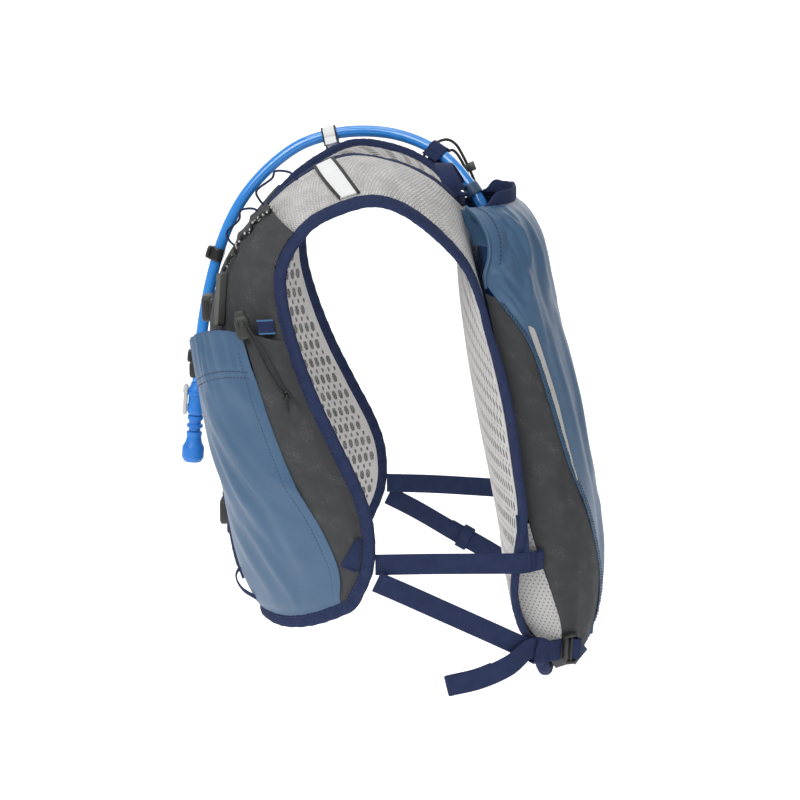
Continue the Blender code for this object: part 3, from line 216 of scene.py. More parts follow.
def resampled(points, count, start=0.0, end=1.0):
    """count points evenly spaced along a smooth curve, between two shares of its length."""
    dense = spline(points, np.linspace(0, len(points) - 1, 60 * len(points)))
    along = lengths_along(dense)
    return sampled(np.linspace(start, end, count) * along[-1], along, dense)


def length_of(path):
    return float(np.linalg.norm(np.diff(np.asarray(path), axis=0), axis=1).sum())


def lengths_along(path):
    """The length from a line's start to each of its points."""
    return np.concatenate([[0.0], np.cumsum(np.linalg.norm(np.diff(path, axis=0), axis=1))])


def sampled(at, along, path):
    """Each column of a path, interpolated at the lengths at."""
    return np.stack([np.interp(at, along, path[:, k]) for k in range(path.shape[1])], 1)


def directions(path):
    return unit(np.gradient(np.asarray(path, float), axis=0))


def body_plain(station, across):
    """The middle of the pad: a straight line between a section's two edges, raised by bulge * 4a(1-a)."""
    row = spline(SECTIONS, station)
    inner, outer = row[..., 0:3] * SIZES, row[..., 3:6] * SIZES
    inner[..., 0] = np.maximum(inner[..., 0], 0.0)
    before, after = spline(SECTIONS, station - 0.2), spline(SECTIONS, station + 0.2)
    run = (after[..., 0:3] + after[..., 3:6] - before[..., 0:3] - before[..., 3:6]) * SIZES
    arch = 4 * across * (1 - across)
    point = inner + (outer - inner) * across[..., None]
    point = point + unit(np.cross(outer - inner, run)) * (row[..., 6] * PAD_THICKNESS * arch)[..., None]
    at_front = np.clip(1 - station / END_STATIONS, 0, 1) ** 2
    at_back = np.clip(1 - (LAST - station) / END_STATIONS, 0, 1) ** 2
    point[..., 2] -= (FRONT_SAG * at_front + HEM_SAG * at_back) * arch
    return point


def body_axes(station, across):
    """Unit vectors towards the arm edge, up the strap, and outwards."""
    step = 0.02
    low, high = np.clip(across - step, 0, 1), np.clip(across + step, 0, 1)
    early, late = np.clip(station - step, 0, LAST), np.clip(station + step, 0, LAST)
    to_arm = unit(body_plain(station, high) - body_plain(station, low))
    onward = unit(body_plain(late, across) - body_plain(early, across))
    return to_arm, onward, unit(np.cross(to_arm, onward))


def mirrored_where(negative, points):
    """Points with x turned round where negative holds."""
    return points * np.stack([np.where(negative, -1.0, 1.0), 1 + 0 * negative, 1 + 0 * negative], -1)


def body_surface(station, across, lift=0.0):
    station, across = np.broadcast_arrays(np.asarray(station, float), np.asarray(across, float))
    return body_plain(station, across) + body_axes(station, across)[2] * np.asarray(lift)[..., None]


def edge_sink(station, across, depth):
    """depth at the strap's edges and foot, and 0 from 4.5 % of its width and 5 mm inwards."""
    beside = smoothstep(np.minimum(across, 1 - across), 0.0, 0.045)
    above = smoothstep(np.asarray(station) * 0.022, 0.0, 0.005)
    return depth * (1 - np.minimum(beside, above))


def sleeve_front(level):
    station, across, gape = (column(SLEEVE_ROWS, k, level) for k in range(3))
    return body_surface(station, across, FACE + np.maximum(gape, 0.0) * SLEEVE_GAPE)


def sleeve_surface(level, aside, lift=0.0):
    """x = X sin(t)^p, y = Y0 + (Y1-Y0) cos(t)^p, z likewise, with t = aside * 90 degrees and p = 2/2.5."""
    level, aside = np.broadcast_arrays(np.asarray(level, float), np.asarray(aside, float))

    def plain(lev, asi):
        front = sleeve_front(lev)
        angle, power = 0.5 * math.pi * asi, 2 / SLEEVE_ROUNDNESS
        beside, behind = np.abs(np.sin(angle)) ** power, np.abs(np.cos(angle)) ** power
        y = front[..., 1] + (column(SLEEVE_ROWS, 3, lev) * REACH - front[..., 1]) * behind
        z = front[..., 2] + (column(SLEEVE_ROWS, 4, lev) * DROP - front[..., 2]) * behind
        return np.stack([front[..., 0] * beside, y, z], -1)

    point = plain(level, aside)
    if np.ndim(lift) == 0 and lift == 0.0:
        return point
    step = 0.03
    a0, a1 = np.clip(aside - step, 0, 1), np.clip(aside + step, 0, 1)
    sideways = plain(level, a1) - plain(level, a0)
    above, below = np.clip(level - step, 0, LAST_LEVEL), np.clip(level + step, 0, LAST_LEVEL)
    downwards = plain(below, aside) - plain(above, aside)
    return point + unit(np.cross(sideways, downwards)) * np.asarray(lift)[..., None]


print("pad from", body_surface(0.0, 0.5).round(3), "to", body_surface(24.0, 0.0).round(3))

# %% [markdown]
# ## Mesh makers
#
# Whole arrays go into meshes at once. A *shell* is a closed wall about a grid of points. A *sweep* carries a
# closed section along a path. Both keep their UVs in metres, so that a weave has its true pitch anywhere.

# %%
MATERIAL = {}
BLOCK_DETAIL = 20
FLIP = np.array([-1.0, 1.0, 1.0])


def finish_piece(obj, material, slot=None, body="vest", replaces=()):
    obj.data.materials.append(MATERIAL[material])
    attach(obj, body)
    if replaces:
        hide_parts(*replaces)
    return obj


def mesh_piece(name, verts, faces, uv=None, side="left"):
    """A mesh from arrays: verts (n, 3), faces as a list of (m, k) index arrays, uv (n, 2).

    It is smooth where its faces turn less than 50 degrees. The right side mirrors x and turns every face.
    """
    mesh = bpy.data.meshes.new(name)
    verts = np.asarray(verts, float).reshape(-1, 3)
    if side == "right":
        verts = verts * FLIP
        faces = [np.asarray(f)[:, ::-1] for f in faces]
    loops = np.concatenate([np.asarray(f, int).ravel() for f in faces])
    counts = np.concatenate([np.full(len(f), np.asarray(f).shape[1]) for f in faces])
    mesh.vertices.add(len(verts))
    mesh.vertices.foreach_set("co", verts.ravel())
    mesh.loops.add(len(loops))
    mesh.loops.foreach_set("vertex_index", loops)
    mesh.polygons.add(len(counts))
    mesh.polygons.foreach_set("loop_start", np.concatenate([[0], np.cumsum(counts)[:-1]]))
    mesh.polygons.foreach_set("loop_total", counts)
    if uv is not None:
        layer = mesh.uv_layers.new(name="metres")
        layer.data.foreach_set("uv", np.asarray(uv, float).reshape(-1, 2)[loops].ravel())
    mesh.update(calc_edges=True)
    mesh.validate()
    mesh.shade_smooth()
    mesh.set_sharp_from_angle(angle=math.radians(50))
    obj = bpy.data.objects.new(name, mesh)
    bpy.context.scene.collection.objects.link(obj)
    return obj


def grid_quads(rows, columns, wrap=False):
    index = np.arange(rows * columns).reshape(rows, columns)
    if wrap:
        index = np.concatenate([index, index[:, :1]], 1)
    corners = (index[:-1, :-1], index[:-1, 1:], index[1:, 1:], index[1:, :-1])
    return np.stack(corners, -1).reshape(-1, 4)


def grid_normals(grid):
    across, along = np.gradient(grid, axis=1), np.gradient(grid, axis=0)
    return unit(np.cross(across, along))


def metres_uv(grid):
    """u and v in metres: the mean arc length along the columns and along the rows."""
    u = np.linalg.norm(np.diff(grid, axis=1), axis=2)
    v = np.linalg.norm(np.diff(grid, axis=0), axis=2)
    u = np.concatenate([np.zeros((len(grid), 1)), np.cumsum(u, 1)], 1)
    v = np.concatenate([np.zeros((1, grid.shape[1])), np.cumsum(v, 0)], 0)
    return np.stack([u - u[:, -1:] / 2, np.broadcast_to(v.mean(1, keepdims=True), u.shape)], -1)


def shell(name, grid, thickness, material, low=0.0, flip=False, side="left", **ride):
    """A closed wall: the grid raised by low and by low + thickness along its normals, joined at the rim."""
    grid = grid[:, ::-1] if flip else grid
    rows, columns = grid.shape[:2]
    out = grid_normals(grid)
    bottom = grid + out * np.asarray(low)[..., None]
    top = bottom + out * np.asarray(thickness)[..., None]
    count = rows * columns
    quads = grid_quads(rows, columns)
    index = np.arange(count).reshape(rows, columns)
    rim = np.concatenate([index[0, :], index[1:, -1], index[-1, -2::-1], index[-2:0:-1, 0]])
    after = np.roll(rim, -1)
    walls = np.stack([after, rim, rim + count, after + count], -1)
    uv = metres_uv(grid)
    verts = np.concatenate([top.reshape(-1, 3), bottom.reshape(-1, 3)])
    uvs = np.concatenate([uv.reshape(-1, 2)] * 2)
    piece = mesh_piece(name, verts, [quads, quads[:, ::-1] + count, walls], uvs, side)
    return finish_piece(piece, material, **ride)


def sweep(name, path, section, material, sideways, scale=None, cyclic=False, side="left", **ride):
    """A closed section (m, 2), in sideways and outward metres, carried along a path (n, 3)."""
    verts, faces, uv = swept(path, section, sideways, scale, cyclic)
    return finish_piece(mesh_piece(name, verts, faces, uv, side), material, **ride)


def swept(path, section, sideways, scale=None, cyclic=False):
    path, section = np.asarray(path, float), np.asarray(section, float)
    run = directions(path)
    if cyclic:
        run = unit(np.roll(path, -1, 0) - np.roll(path, 1, 0))
    side = np.broadcast_to(np.asarray(sideways, float), path.shape)
    side = unit(side - run * np.sum(side * run, 1, keepdims=True))
    out = np.cross(side, run)
    size = np.ones((len(path), 2)) if scale is None else np.asarray(scale, float).reshape(len(path), -1)
    size = np.broadcast_to(size, (len(path), 2))
    across = section[None, :, 0] * size[:, :1]
    above = section[None, :, 1] * size[:, 1:]
    verts = path[:, None] + across[..., None] * side[:, None] + above[..., None] * out[:, None]
    n, m = verts.shape[:2]
    around, along = lengths_along(section), lengths_along(path)
    uv = np.stack(np.broadcast_arrays(around[None, :], along[:, None]), -1).reshape(-1, 2)
    index = np.arange(n * m).reshape(n, m)
    if cyclic:
        index = np.concatenate([index, index[:1]], 0)
    index = np.concatenate([index, index[:, :1]], 1)
    quads = np.stack([index[:-1, :-1], index[1:, :-1], index[1:, 1:], index[:-1, 1:]], -1).reshape(-1, 4)
    verts = verts.reshape(-1, 3)
    if cyclic:
        return verts, [quads], uv
    ends = np.stack([path[0], path[-1]])
    verts = np.concatenate([verts, ends])
    uv = np.concatenate([uv, [[0.0, 0.0], [0.0, along[-1]]]])
    first, last = np.arange(m), np.arange(m) + (n - 1) * m
    fan_a = np.stack([np.full(m, n * m), first, np.roll(first, -1)], -1)
    fan_b = np.stack([np.full(m, n * m + 1), np.roll(last, -1), last], -1)
    return verts, [quads, fan_a, fan_b], uv


def joined(parts):
    """Several (verts, faces, uv) sets as one, with their faces grouped by size."""
    verts, uv, groups, start = [], [], {}, 0
    for v, faces, u in parts:
        verts.append(v)
        uv.append(u)
        for f in faces:
            groups.setdefault(np.asarray(f).shape[1], []).append(np.asarray(f) + start)
        start += len(v)
    return np.concatenate(verts), [np.concatenate(group) for group in groups.values()], np.concatenate(uv)


def full_turn(count):
    return np.linspace(0, 2 * math.pi, count, endpoint=False)


def rounded_off(value, power):
    """sign(x) |x|^(2/n): it turns a circle's cosine and sine into a superellipse's."""
    return np.sign(value) * np.abs(value) ** (2 / power)


def placed(local, place, x_axis, z_axis):
    """Local points in the world: Z along z_axis, and X as near to x_axis as a square corner allows."""
    z = unit(np.asarray(z_axis, float))
    y = unit(np.cross(z, x_axis))
    return np.asarray(place) + local @ np.stack([np.cross(y, z), y, z])


def capped_quads(rows, columns):
    """The faces of stacked rings, and of fans to two poles that follow the rings' points."""
    ring = np.arange(columns)
    top = ring + (rows - 1) * columns
    low = np.stack([np.full(columns, rows * columns), np.roll(ring, -1), ring], -1)
    high = np.stack([np.full(columns, rows * columns + 1), top, np.roll(top, -1)], -1)
    return [grid_quads(rows, columns, wrap=True), low, high]


def round_section(width, height, power=2.0, count=20):
    """|x/a|^n + |y/b|^n = 1, anticlockwise."""
    t = full_turn(count)
    x, y = rounded_off(np.cos(t), power), rounded_off(np.sin(t), power)
    return np.stack([0.5 * width * x, 0.5 * height * y], 1)


def rounded(name, size, place, x_axis, z_axis, material, power=4.0, side="left", **ride):
    """A superellipsoid block: each axis of a sphere's point is raised to the power 2/power."""
    lat = np.linspace(-0.5 * math.pi, 0.5 * math.pi, BLOCK_DETAIL)[1:-1]
    lat, lon = np.meshgrid(lat, full_turn(2 * BLOCK_DETAIL), indexing="ij")
    level, height = rounded_off(np.cos(lat), power), rounded_off(np.sin(lat), power)
    ball = np.stack([level * rounded_off(np.cos(lon), power), level * rounded_off(np.sin(lon), power), height], -1)
    poles = np.array([[0.0, 0.0, -1.0], [0.0, 0.0, 1.0]])
    local = np.concatenate([ball.reshape(-1, 3), poles]) * np.asarray(size) / 2
    verts = placed(local, place, x_axis, z_axis)
    uv = np.stack([local[:, 0], local[:, 1]], -1)
    return finish_piece(mesh_piece(name, verts, capped_quads(*ball.shape[:2]), uv, side), material, **ride)


def turned(name, profile, place, x_axis, z_axis, material, steps=40, **ride):
    """A profile of (radius, height) rows turned about Z, its ends closed by poles."""
    profile = np.asarray(profile, float)
    t = full_turn(steps)
    ring = np.stack([np.cos(t), np.sin(t)], -1)
    local = np.concatenate([
        np.concatenate([radius * ring, np.full((steps, 1), height)], 1) for radius, height in profile
    ] + [[[0.0, 0.0, profile[0, 1]], [0.0, 0.0, profile[-1, 1]]]])
    verts = placed(local, place, x_axis, z_axis)
    angle = np.arctan2(local[:, 1], local[:, 0]) * 0.005
    uv = np.stack([angle, local[:, 2]], -1)
    return finish_piece(mesh_piece(name, verts, capped_quads(len(profile), steps), uv), material, **ride)


def softened(profile, radius, steps=4):
    """Rounds the corners of a (radius, height) profile with short quadratic arcs."""
    profile = np.asarray(profile, float)
    points = [profile[0]]
    for before, corner, after in zip(profile[:-2], profile[1:-1], profile[2:]):
        back, ahead = before - corner, after - corner
        size_b, size_a = np.linalg.norm(back), np.linalg.norm(ahead)
        cut = min(radius, 0.45 * size_b, 0.45 * size_a)
        start, end = corner + back / size_b * cut, corner + ahead / size_a * cut
        for s in np.linspace(0, 1, steps):
            points.append((1 - s) ** 2 * start + 2 * s * (1 - s) * corner + s**2 * end)
    return np.array(points + [profile[-1]])


def cord_curve(name, path, radius, material, **ride):
    """A cord as one open curve with a round bevel."""
    curve = bpy.data.curves.new(name, "CURVE")
    curve.dimensions = "3D"
    curve.bevel_depth = radius
    curve.bevel_resolution = 5
    curve.use_fill_caps = True
    line = curve.splines.new("POLY")
    line.points.add(len(path) - 1)
    for target, point in zip(line.points, path):
        target.co = (*point, 1.0)
    line.use_smooth = True
    obj = bpy.data.objects.new(name, curve)
    bpy.context.scene.collection.objects.link(obj)
    return finish_piece(obj, material, **ride)


print("mesh makers ready")

# %% [markdown]
# ## Materials
#
# Each effect is a node group that the materials share: a plain weave, a wavy knit, crossed yarns, a soft
# mottle and bright specks. On cloth they read the UVs in metres, so a pitch is that of a real thread.

# %%


def add_node(tree, kind, inputs=None, **settings):
    node = tree.nodes.new(kind)
    for key, value in settings.items():
        setattr(node, key, value)
    for key, value in (inputs or {}).items():
        if isinstance(value, bpy.types.NodeSocket):
            tree.links.new(value, node.inputs[key])
        else:
            node.inputs[key].default_value = value
    return node


def calc(tree, operation, a, b=0.0, c=0.0):
    return add_node(tree, "ShaderNodeMath", {0: a, 1: b, 2: c}, operation=operation).outputs[0]


def node_group(name, inputs, outputs, build):
    """inputs are (name, default) rows: a default of None is a vector. build returns the output sockets."""
    tree = bpy.data.node_groups.new(name, "ShaderNodeTree")
    for label, default in inputs:
        kind = "NodeSocketVector" if default is None else "NodeSocketFloat"
        socket = tree.interface.new_socket(label, in_out="INPUT", socket_type=kind)
        if default is not None:
            socket.default_value = default
    for label in outputs:
        tree.interface.new_socket(label, in_out="OUTPUT", socket_type="NodeSocketFloat")
    start = tree.nodes.new("NodeGroupInput")
    end = tree.nodes.new("NodeGroupOutput")
    for label, socket in zip(outputs, build(tree, start.outputs)):
        tree.links.new(socket, end.inputs[label])
    return tree


def threads(tree, coordinate, pitch):
    """cos(2 pi x / pitch), one wave for each thread."""
    return calc(tree, "COSINE", calc(tree, "MULTIPLY", calc(tree, "DIVIDE", coordinate, pitch), 2 * math.pi))


def build_weave(tree, given):
    """Plain weave: (1 + cos u cos v) / 2, high where the warp lies on top."""
    parts = add_node(tree, "ShaderNodeSeparateXYZ", {0: given["Place"]}).outputs
    u, v = threads(tree, parts[0], given["Pitch"]), threads(tree, parts[1], given["Pitch"])
    return [calc(tree, "MULTIPLY_ADD", calc(tree, "MULTIPLY", u, v), 0.5, 0.5)]


def build_knit(tree, given):
    """Wavy courses: (1 + cos(v + w cos u)) / 2 * (0.6 + 0.4 |cos u/2|)."""
    parts = add_node(tree, "ShaderNodeSeparateXYZ", {0: given["Place"]}).outputs
    noise = add_node(tree, "ShaderNodeTexNoise", {"Vector": given["Place"], "Scale": 260.0, "Detail": 2.0})
    wave = threads(tree, parts[0], calc(tree, "MULTIPLY", given["Pitch"], 1.7))
    bend = calc(tree, "MULTIPLY", wave, calc(tree, "MULTIPLY", given["Pitch"], 0.34))
    stray = calc(tree, "MULTIPLY", calc(tree, "SUBTRACT", noise.outputs[0], 0.5), given["Pitch"])
    course = calc(tree, "ADD", parts[1], calc(tree, "ADD", bend, stray))
    rows = calc(tree, "MULTIPLY_ADD", threads(tree, course, given["Pitch"]), 0.5, 0.5)
    loops = calc(tree, "MULTIPLY_ADD", calc(tree, "ABSOLUTE", wave), 0.4, 0.6)
    return [calc(tree, "MULTIPLY", rows, loops)]


def build_crossed(tree, given):
    """Yarns along both diagonals: the larger of two sharpened waves."""
    parts = add_node(tree, "ShaderNodeSeparateXYZ", {0: given["Place"]}).outputs
    one = calc(tree, "ADD", parts[0], calc(tree, "MULTIPLY", parts[1], 0.62))
    two = calc(tree, "SUBTRACT", parts[0], calc(tree, "MULTIPLY", parts[1], 0.62))
    waves = [calc(tree, "POWER", calc(tree, "MULTIPLY_ADD", threads(tree, c, given["Pitch"]), 0.5, 0.5), 3.0)
             for c in (one, two)]
    return [calc(tree, "MAXIMUM", *waves)]


def build_mottle(tree, given):
    """A slow fractal noise that leaves the colour slightly uneven."""
    noise = add_node(tree, "ShaderNodeTexNoise", {
        "Vector": given["Place"], "Scale": given["Scale"], "Detail": 5.0, "Roughness": 0.6})
    return [noise.outputs[0]]


def build_specks(tree, given):
    """Bright specks of random cells, such as the open eyes of a stretch mesh."""
    cells = add_node(tree, "ShaderNodeTexVoronoi", {"Vector": given["Place"], "Scale": given["Scale"]})
    dots = calc(tree, "SUBTRACT", 1.0, calc(tree, "DIVIDE", cells.outputs["Distance"], 0.38))
    pick = add_node(tree, "ShaderNodeTexWhiteNoise", {"Vector": cells.outputs["Position"]}).outputs[0]
    return [calc(tree, "MULTIPLY", calc(tree, "MAXIMUM", dots, 0.0), pick)]


PLACE = ("Place", None)
GROUPS = {
    "weave": node_group("Plain weave", [PLACE, ("Pitch", 0.001)], ["Height"], build_weave),
    "knit": node_group("Wavy knit", [PLACE, ("Pitch", 0.001)], ["Height"], build_knit),
    "crossed": node_group("Crossed yarns", [PLACE, ("Pitch", 0.002)], ["Height"], build_crossed),
    "mottle": node_group("Mottle", [PLACE, ("Scale", 30.0)], ["Shade"], build_mottle),
    "specks": node_group("Specks", [PLACE, ("Scale", 900.0)], ["Shade"], build_specks),
}


def use_group(tree, name, place, **values):
    node = tree.nodes.new("ShaderNodeGroup")
    node.node_tree = GROUPS[name]
    tree.links.new(place, node.inputs["Place"])
    for key, value in values.items():
        node.inputs[key].default_value = value
    return node.outputs[0]


def new_material(name, **settings):
    """A material whose constants sit on the shader's own sockets. Returns its tree and shader."""
    material = bpy.data.materials.new(name)
    material.use_nodes = True
    tree = material.node_tree
    shader = tree.nodes["Principled BSDF"]
    for key, value in settings.items():
        shader.inputs[key.replace("_", " ")].default_value = value
    MATERIAL[name] = material
    return tree, shader


def place_of(tree, kind="UV"):
    """UV is in metres on cloth, and Object on the moulded pieces."""
    return add_node(tree, "ShaderNodeTexCoord").outputs[kind]


def blend_colour(tree, factor, low, high):
    ramp = add_node(tree, "ShaderNodeMix", data_type="RGBA")
    tree.links.new(factor, ramp.inputs[0])
    for socket, value in ((6, low), (7, high)):
        if isinstance(value, bpy.types.NodeSocket):
            tree.links.new(value, ramp.inputs[socket])
        else:
            ramp.inputs[socket].default_value = (*value, 1.0)
    return ramp.outputs[2]


def bump(tree, shader, height, strength, distance):
    node = add_node(tree, "ShaderNodeBump", {"Height": height, "Strength": strength, "Distance": distance})
    tree.links.new(node.outputs[0], shader.inputs["Normal"])
    return node


def textile(name, dark, light, pattern, pitch, roughness, relief, mottle, sheen=0.0, **more):
    """A cloth: its pattern's height shades it between two colours and raises it, and a mottle varies it."""
    tree, shader = new_material(name, Roughness=roughness, Sheen_Weight=sheen, **more)
    place = place_of(tree)
    height = use_group(tree, pattern, place, Pitch=pitch)
    shade = use_group(tree, "mottle", place, Scale=mottle)
    mixed = calc(tree, "MULTIPLY_ADD", height, 0.55, calc(tree, "MULTIPLY_ADD", shade, 0.9, -0.22))
    tree.links.new(blend_colour(tree, mixed, dark, light), shader.inputs["Base Color"])
    bump(tree, shader, height, relief, pitch * 0.35)


textile("mesh_white", (0.36, 0.35, 0.34), (0.84, 0.83, 0.82), "knit", 0.0027, 0.92, 0.9, 60.0, 0.1)
textile("net_white", (0.60, 0.585, 0.575), (0.80, 0.785, 0.775), "knit", 0.0009, 0.90, 0.35, 90.0, 0.15)
textile("core_dark", (0.016, 0.016, 0.016), (0.50, 0.49, 0.48), "crossed", 0.0022, 0.90, 0.5, 120.0)
textile("binding_navy", (0.012, 0.020, 0.062), (0.040, 0.055, 0.125), "weave", 0.0007, 0.85, 0.45, 120.0,
        Specular_IOR_Level=0.15)
textile("webbing_navy", (0.014, 0.023, 0.068), (0.036, 0.050, 0.120), "weave", 0.0011, 0.80, 0.55, 90.0,
        Specular_IOR_Level=0.15)
textile("ripstop_blue", (0.036, 0.088, 0.170), (0.072, 0.150, 0.262), "weave", 0.0006, 0.42, 0.10, 16.0,
        Specular_IOR_Level=0.5)
textile("tab_navy", (0.018, 0.030, 0.115), (0.035, 0.06, 0.20), "weave", 0.0008, 0.60, 0.4, 90.0, 0.1)
textile("cord_black", (0.006, 0.006, 0.006), (0.045, 0.045, 0.043), "weave", 0.0011, 0.62, 0.5, 200.0)
textile("thread_navy", (0.012, 0.020, 0.070), (0.05, 0.075, 0.18), "weave", 0.0005, 0.6, 0.3, 300.0)
textile("thread_blue", (0.010, 0.022, 0.055), (0.020, 0.045, 0.10), "weave", 0.0005, 0.6, 0.3, 300.0)
textile("reservoir_blue", (0.010, 0.075, 0.30), (0.03, 0.20, 0.62), "weave", 0.004, 0.22, 0.05, 45.0,
        Coat_Weight=0.5)
textile("reflective_grey", (0.42, 0.41, 0.40), (0.60, 0.59, 0.57), "weave", 0.0004, 0.38, 0.1, 160.0)
textile("edge_blue", (0.03, 0.12, 0.26), (0.07, 0.20, 0.38), "weave", 0.0006, 0.5, 0.2, 60.0)


def stretch_material():
    """Charcoal stretch knit: fine ribs, a soft heather and specks where the lining shows through."""
    tree, shader = new_material("stretch_grey", Roughness=0.88, Specular_IOR_Level=0.2)
    place = place_of(tree)
    height = use_group(tree, "weave", place, Pitch=0.0009)
    shade = use_group(tree, "mottle", place, Scale=55.0)
    specks = use_group(tree, "specks", place, Scale=1100.0)
    base = blend_colour(tree, calc(tree, "MULTIPLY_ADD", height, 0.4, calc(tree, "MULTIPLY", shade, 0.6)),
                        (0.030, 0.031, 0.034), (0.098, 0.099, 0.104))
    spots = calc(tree, "MULTIPLY", specks, smooth_from(tree, shade, 0.50, 0.66))
    tree.links.new(blend_colour(tree, spots, base, (0.34, 0.34, 0.35)), shader.inputs["Base Color"])
    bump(tree, shader, height, 0.35, 0.0003)


def smooth_from(tree, value, low, high):
    node = add_node(tree, "ShaderNodeMapRange", {0: value, 1: low, 2: high}, interpolation_type="SMOOTHSTEP")
    return node.outputs[0]


def band_material():
    """The white coated band: a fine woven relief and a slightly uneven white."""
    tree, shader = new_material("band_white", Roughness=0.55)
    place = place_of(tree)
    shade = use_group(tree, "mottle", place, Scale=80.0)
    white = blend_colour(tree, shade, (0.74, 0.74, 0.74), (0.90, 0.90, 0.90))
    tree.links.new(white, shader.inputs["Base Color"])
    bump(tree, shader, use_group(tree, "weave", place, Pitch=0.0007), 0.3, 0.0002)


def moulded(name, dark, light, roughness, coat=0.0, relief=0.12):
    """Moulded plastic or rubber: a fine grain, slow changes of gloss, and a slightly uneven colour."""
    tree, shader = new_material(name, Coat_Weight=coat)
    place = place_of(tree, "Object")
    shade = use_group(tree, "mottle", place, Scale=70.0)
    fine = use_group(tree, "mottle", place, Scale=900.0)
    tree.links.new(blend_colour(tree, shade, dark, light), shader.inputs["Base Color"])
    gloss = calc(tree, "MULTIPLY_ADD", shade, 0.16, roughness - 0.08)
    tree.links.new(gloss, shader.inputs["Roughness"])
    bump(tree, shader, fine, relief, 0.0002)


def speckled_cord():
    """Black braid with white flecks: a coarse weave of cells, a few of which are bright."""
    tree, shader = new_material("cord_speckled", Roughness=0.7)
    place = place_of(tree)
    cells = add_node(tree, "ShaderNodeTexVoronoi", {"Vector": place_of(tree, "Object"), "Scale": 620.0})
    pick = add_node(tree, "ShaderNodeTexWhiteNoise", {"Vector": cells.outputs["Position"]}).outputs[0]
    bright = smooth_from(tree, pick, 0.76, 0.82)
    tree.links.new(blend_colour(tree, bright, (0.010, 0.010, 0.010), (0.62, 0.62, 0.60)), shader.inputs["Base Color"])
    bump(tree, shader, use_group(tree, "weave", place, Pitch=0.001), 0.4, 0.0003)


def floor_material():
    """The studio's pale sheet: nearly even, and bright enough by itself to read as white."""
    tree, shader = new_material("studio_floor", Roughness=0.8, Emission_Color=(1.0, 1.0, 1.0, 1.0),
                                Emission_Strength=0.6)
    shade = add_node(tree, "ShaderNodeTexNoise", {"Vector": place_of(tree, "Object"), "Scale": 2.0, "Detail": 0.0})
    pale = blend_colour(tree, shade.outputs[0], (0.84, 0.84, 0.84), (0.90, 0.90, 0.90))
    tree.links.new(pale, shader.inputs["Base Color"])


stretch_material()
band_material()
speckled_cord()
moulded("hose_blue", (0.020, 0.230, 0.74), (0.045, 0.330, 0.86), 0.14, coat=1.0, relief=0.0)
moulded("valve_blue", (0.012, 0.17, 0.62), (0.03, 0.25, 0.76), 0.42, relief=0.10)
moulded("valve_grey", (0.52, 0.52, 0.50), (0.66, 0.66, 0.64), 0.48)
moulded("hard_black", (0.010, 0.010, 0.010), (0.030, 0.030, 0.030), 0.36)
moulded("pull_grey", (0.062, 0.066, 0.060), (0.105, 0.108, 0.098), 0.50)
moulded("hard_grey", (0.022, 0.024, 0.021), (0.048, 0.050, 0.043), 0.48)
floor_material()
print(len(MATERIAL), "materials from", len(GROUPS), "groups")

# %% [markdown]
# ## The padded body
#
# Two thin walls make the pad: a white knit outside and a dark core inside. Over the core lies the white
# perforated mesh. It is a lattice of cells, with a row of big ovals, then a row of small ones set half a
# cell aside. The lattice keeps its size in metres, so the strap's edges cut it wherever they pass.

# %%
HOLE_PITCH = 0.0056
BIG_ROW, SMALL_ROW = 0.0099, 0.0058
BIG_HOLE, SMALL_HOLE = (0.0040, 0.0084), (0.0021, 0.0040)
HOLE_SQUARENESS, CELL_MARGIN = 2.6, 0.0006
LINING_LIFTS = (-0.0030, -0.0026)
KNIT_LIFT, KNIT_WALL = 0.0003, 0.0027
CORE_LIFT, CORE_WALL = -0.0024, 0.0020
BACK_START = 16.0
EDGE_SINK = 0.0019


def strap_lattice(start, end, whole):
    """Tables that turn metres along and across into station and across."""
    station = np.linspace(start, end, 500)
    middle = body_plain(station, np.full(500, 0.5))
    along = lengths_along(middle)
    edges = [body_plain(station, np.full(500, a)) for a in np.linspace(0, 1, 9)]
    width = sum(np.linalg.norm(b - a, axis=1) for a, b in zip(edges, edges[1:]))

    def place(u, v, lift):
        at = np.interp(v, along, station)
        share = np.abs(u) / np.interp(v, along, width) if whole else 0.5 + u / np.interp(v, along, width)
        share = np.where(share > 1, 1 + 0.03 * (share - 1), np.where(share < 0, 0.03 * share, share))
        point = body_surface(at, share, lift)
        return mirrored_where(u < 0, point) if whole else point

    def inside(u, v, margin):
        limit = np.interp(v, along, width)
        return np.abs(u) < (limit if whole else limit / 2) + margin

    return along[-1], float(width.max()) * (1.0 if whole else 0.5), place, inside


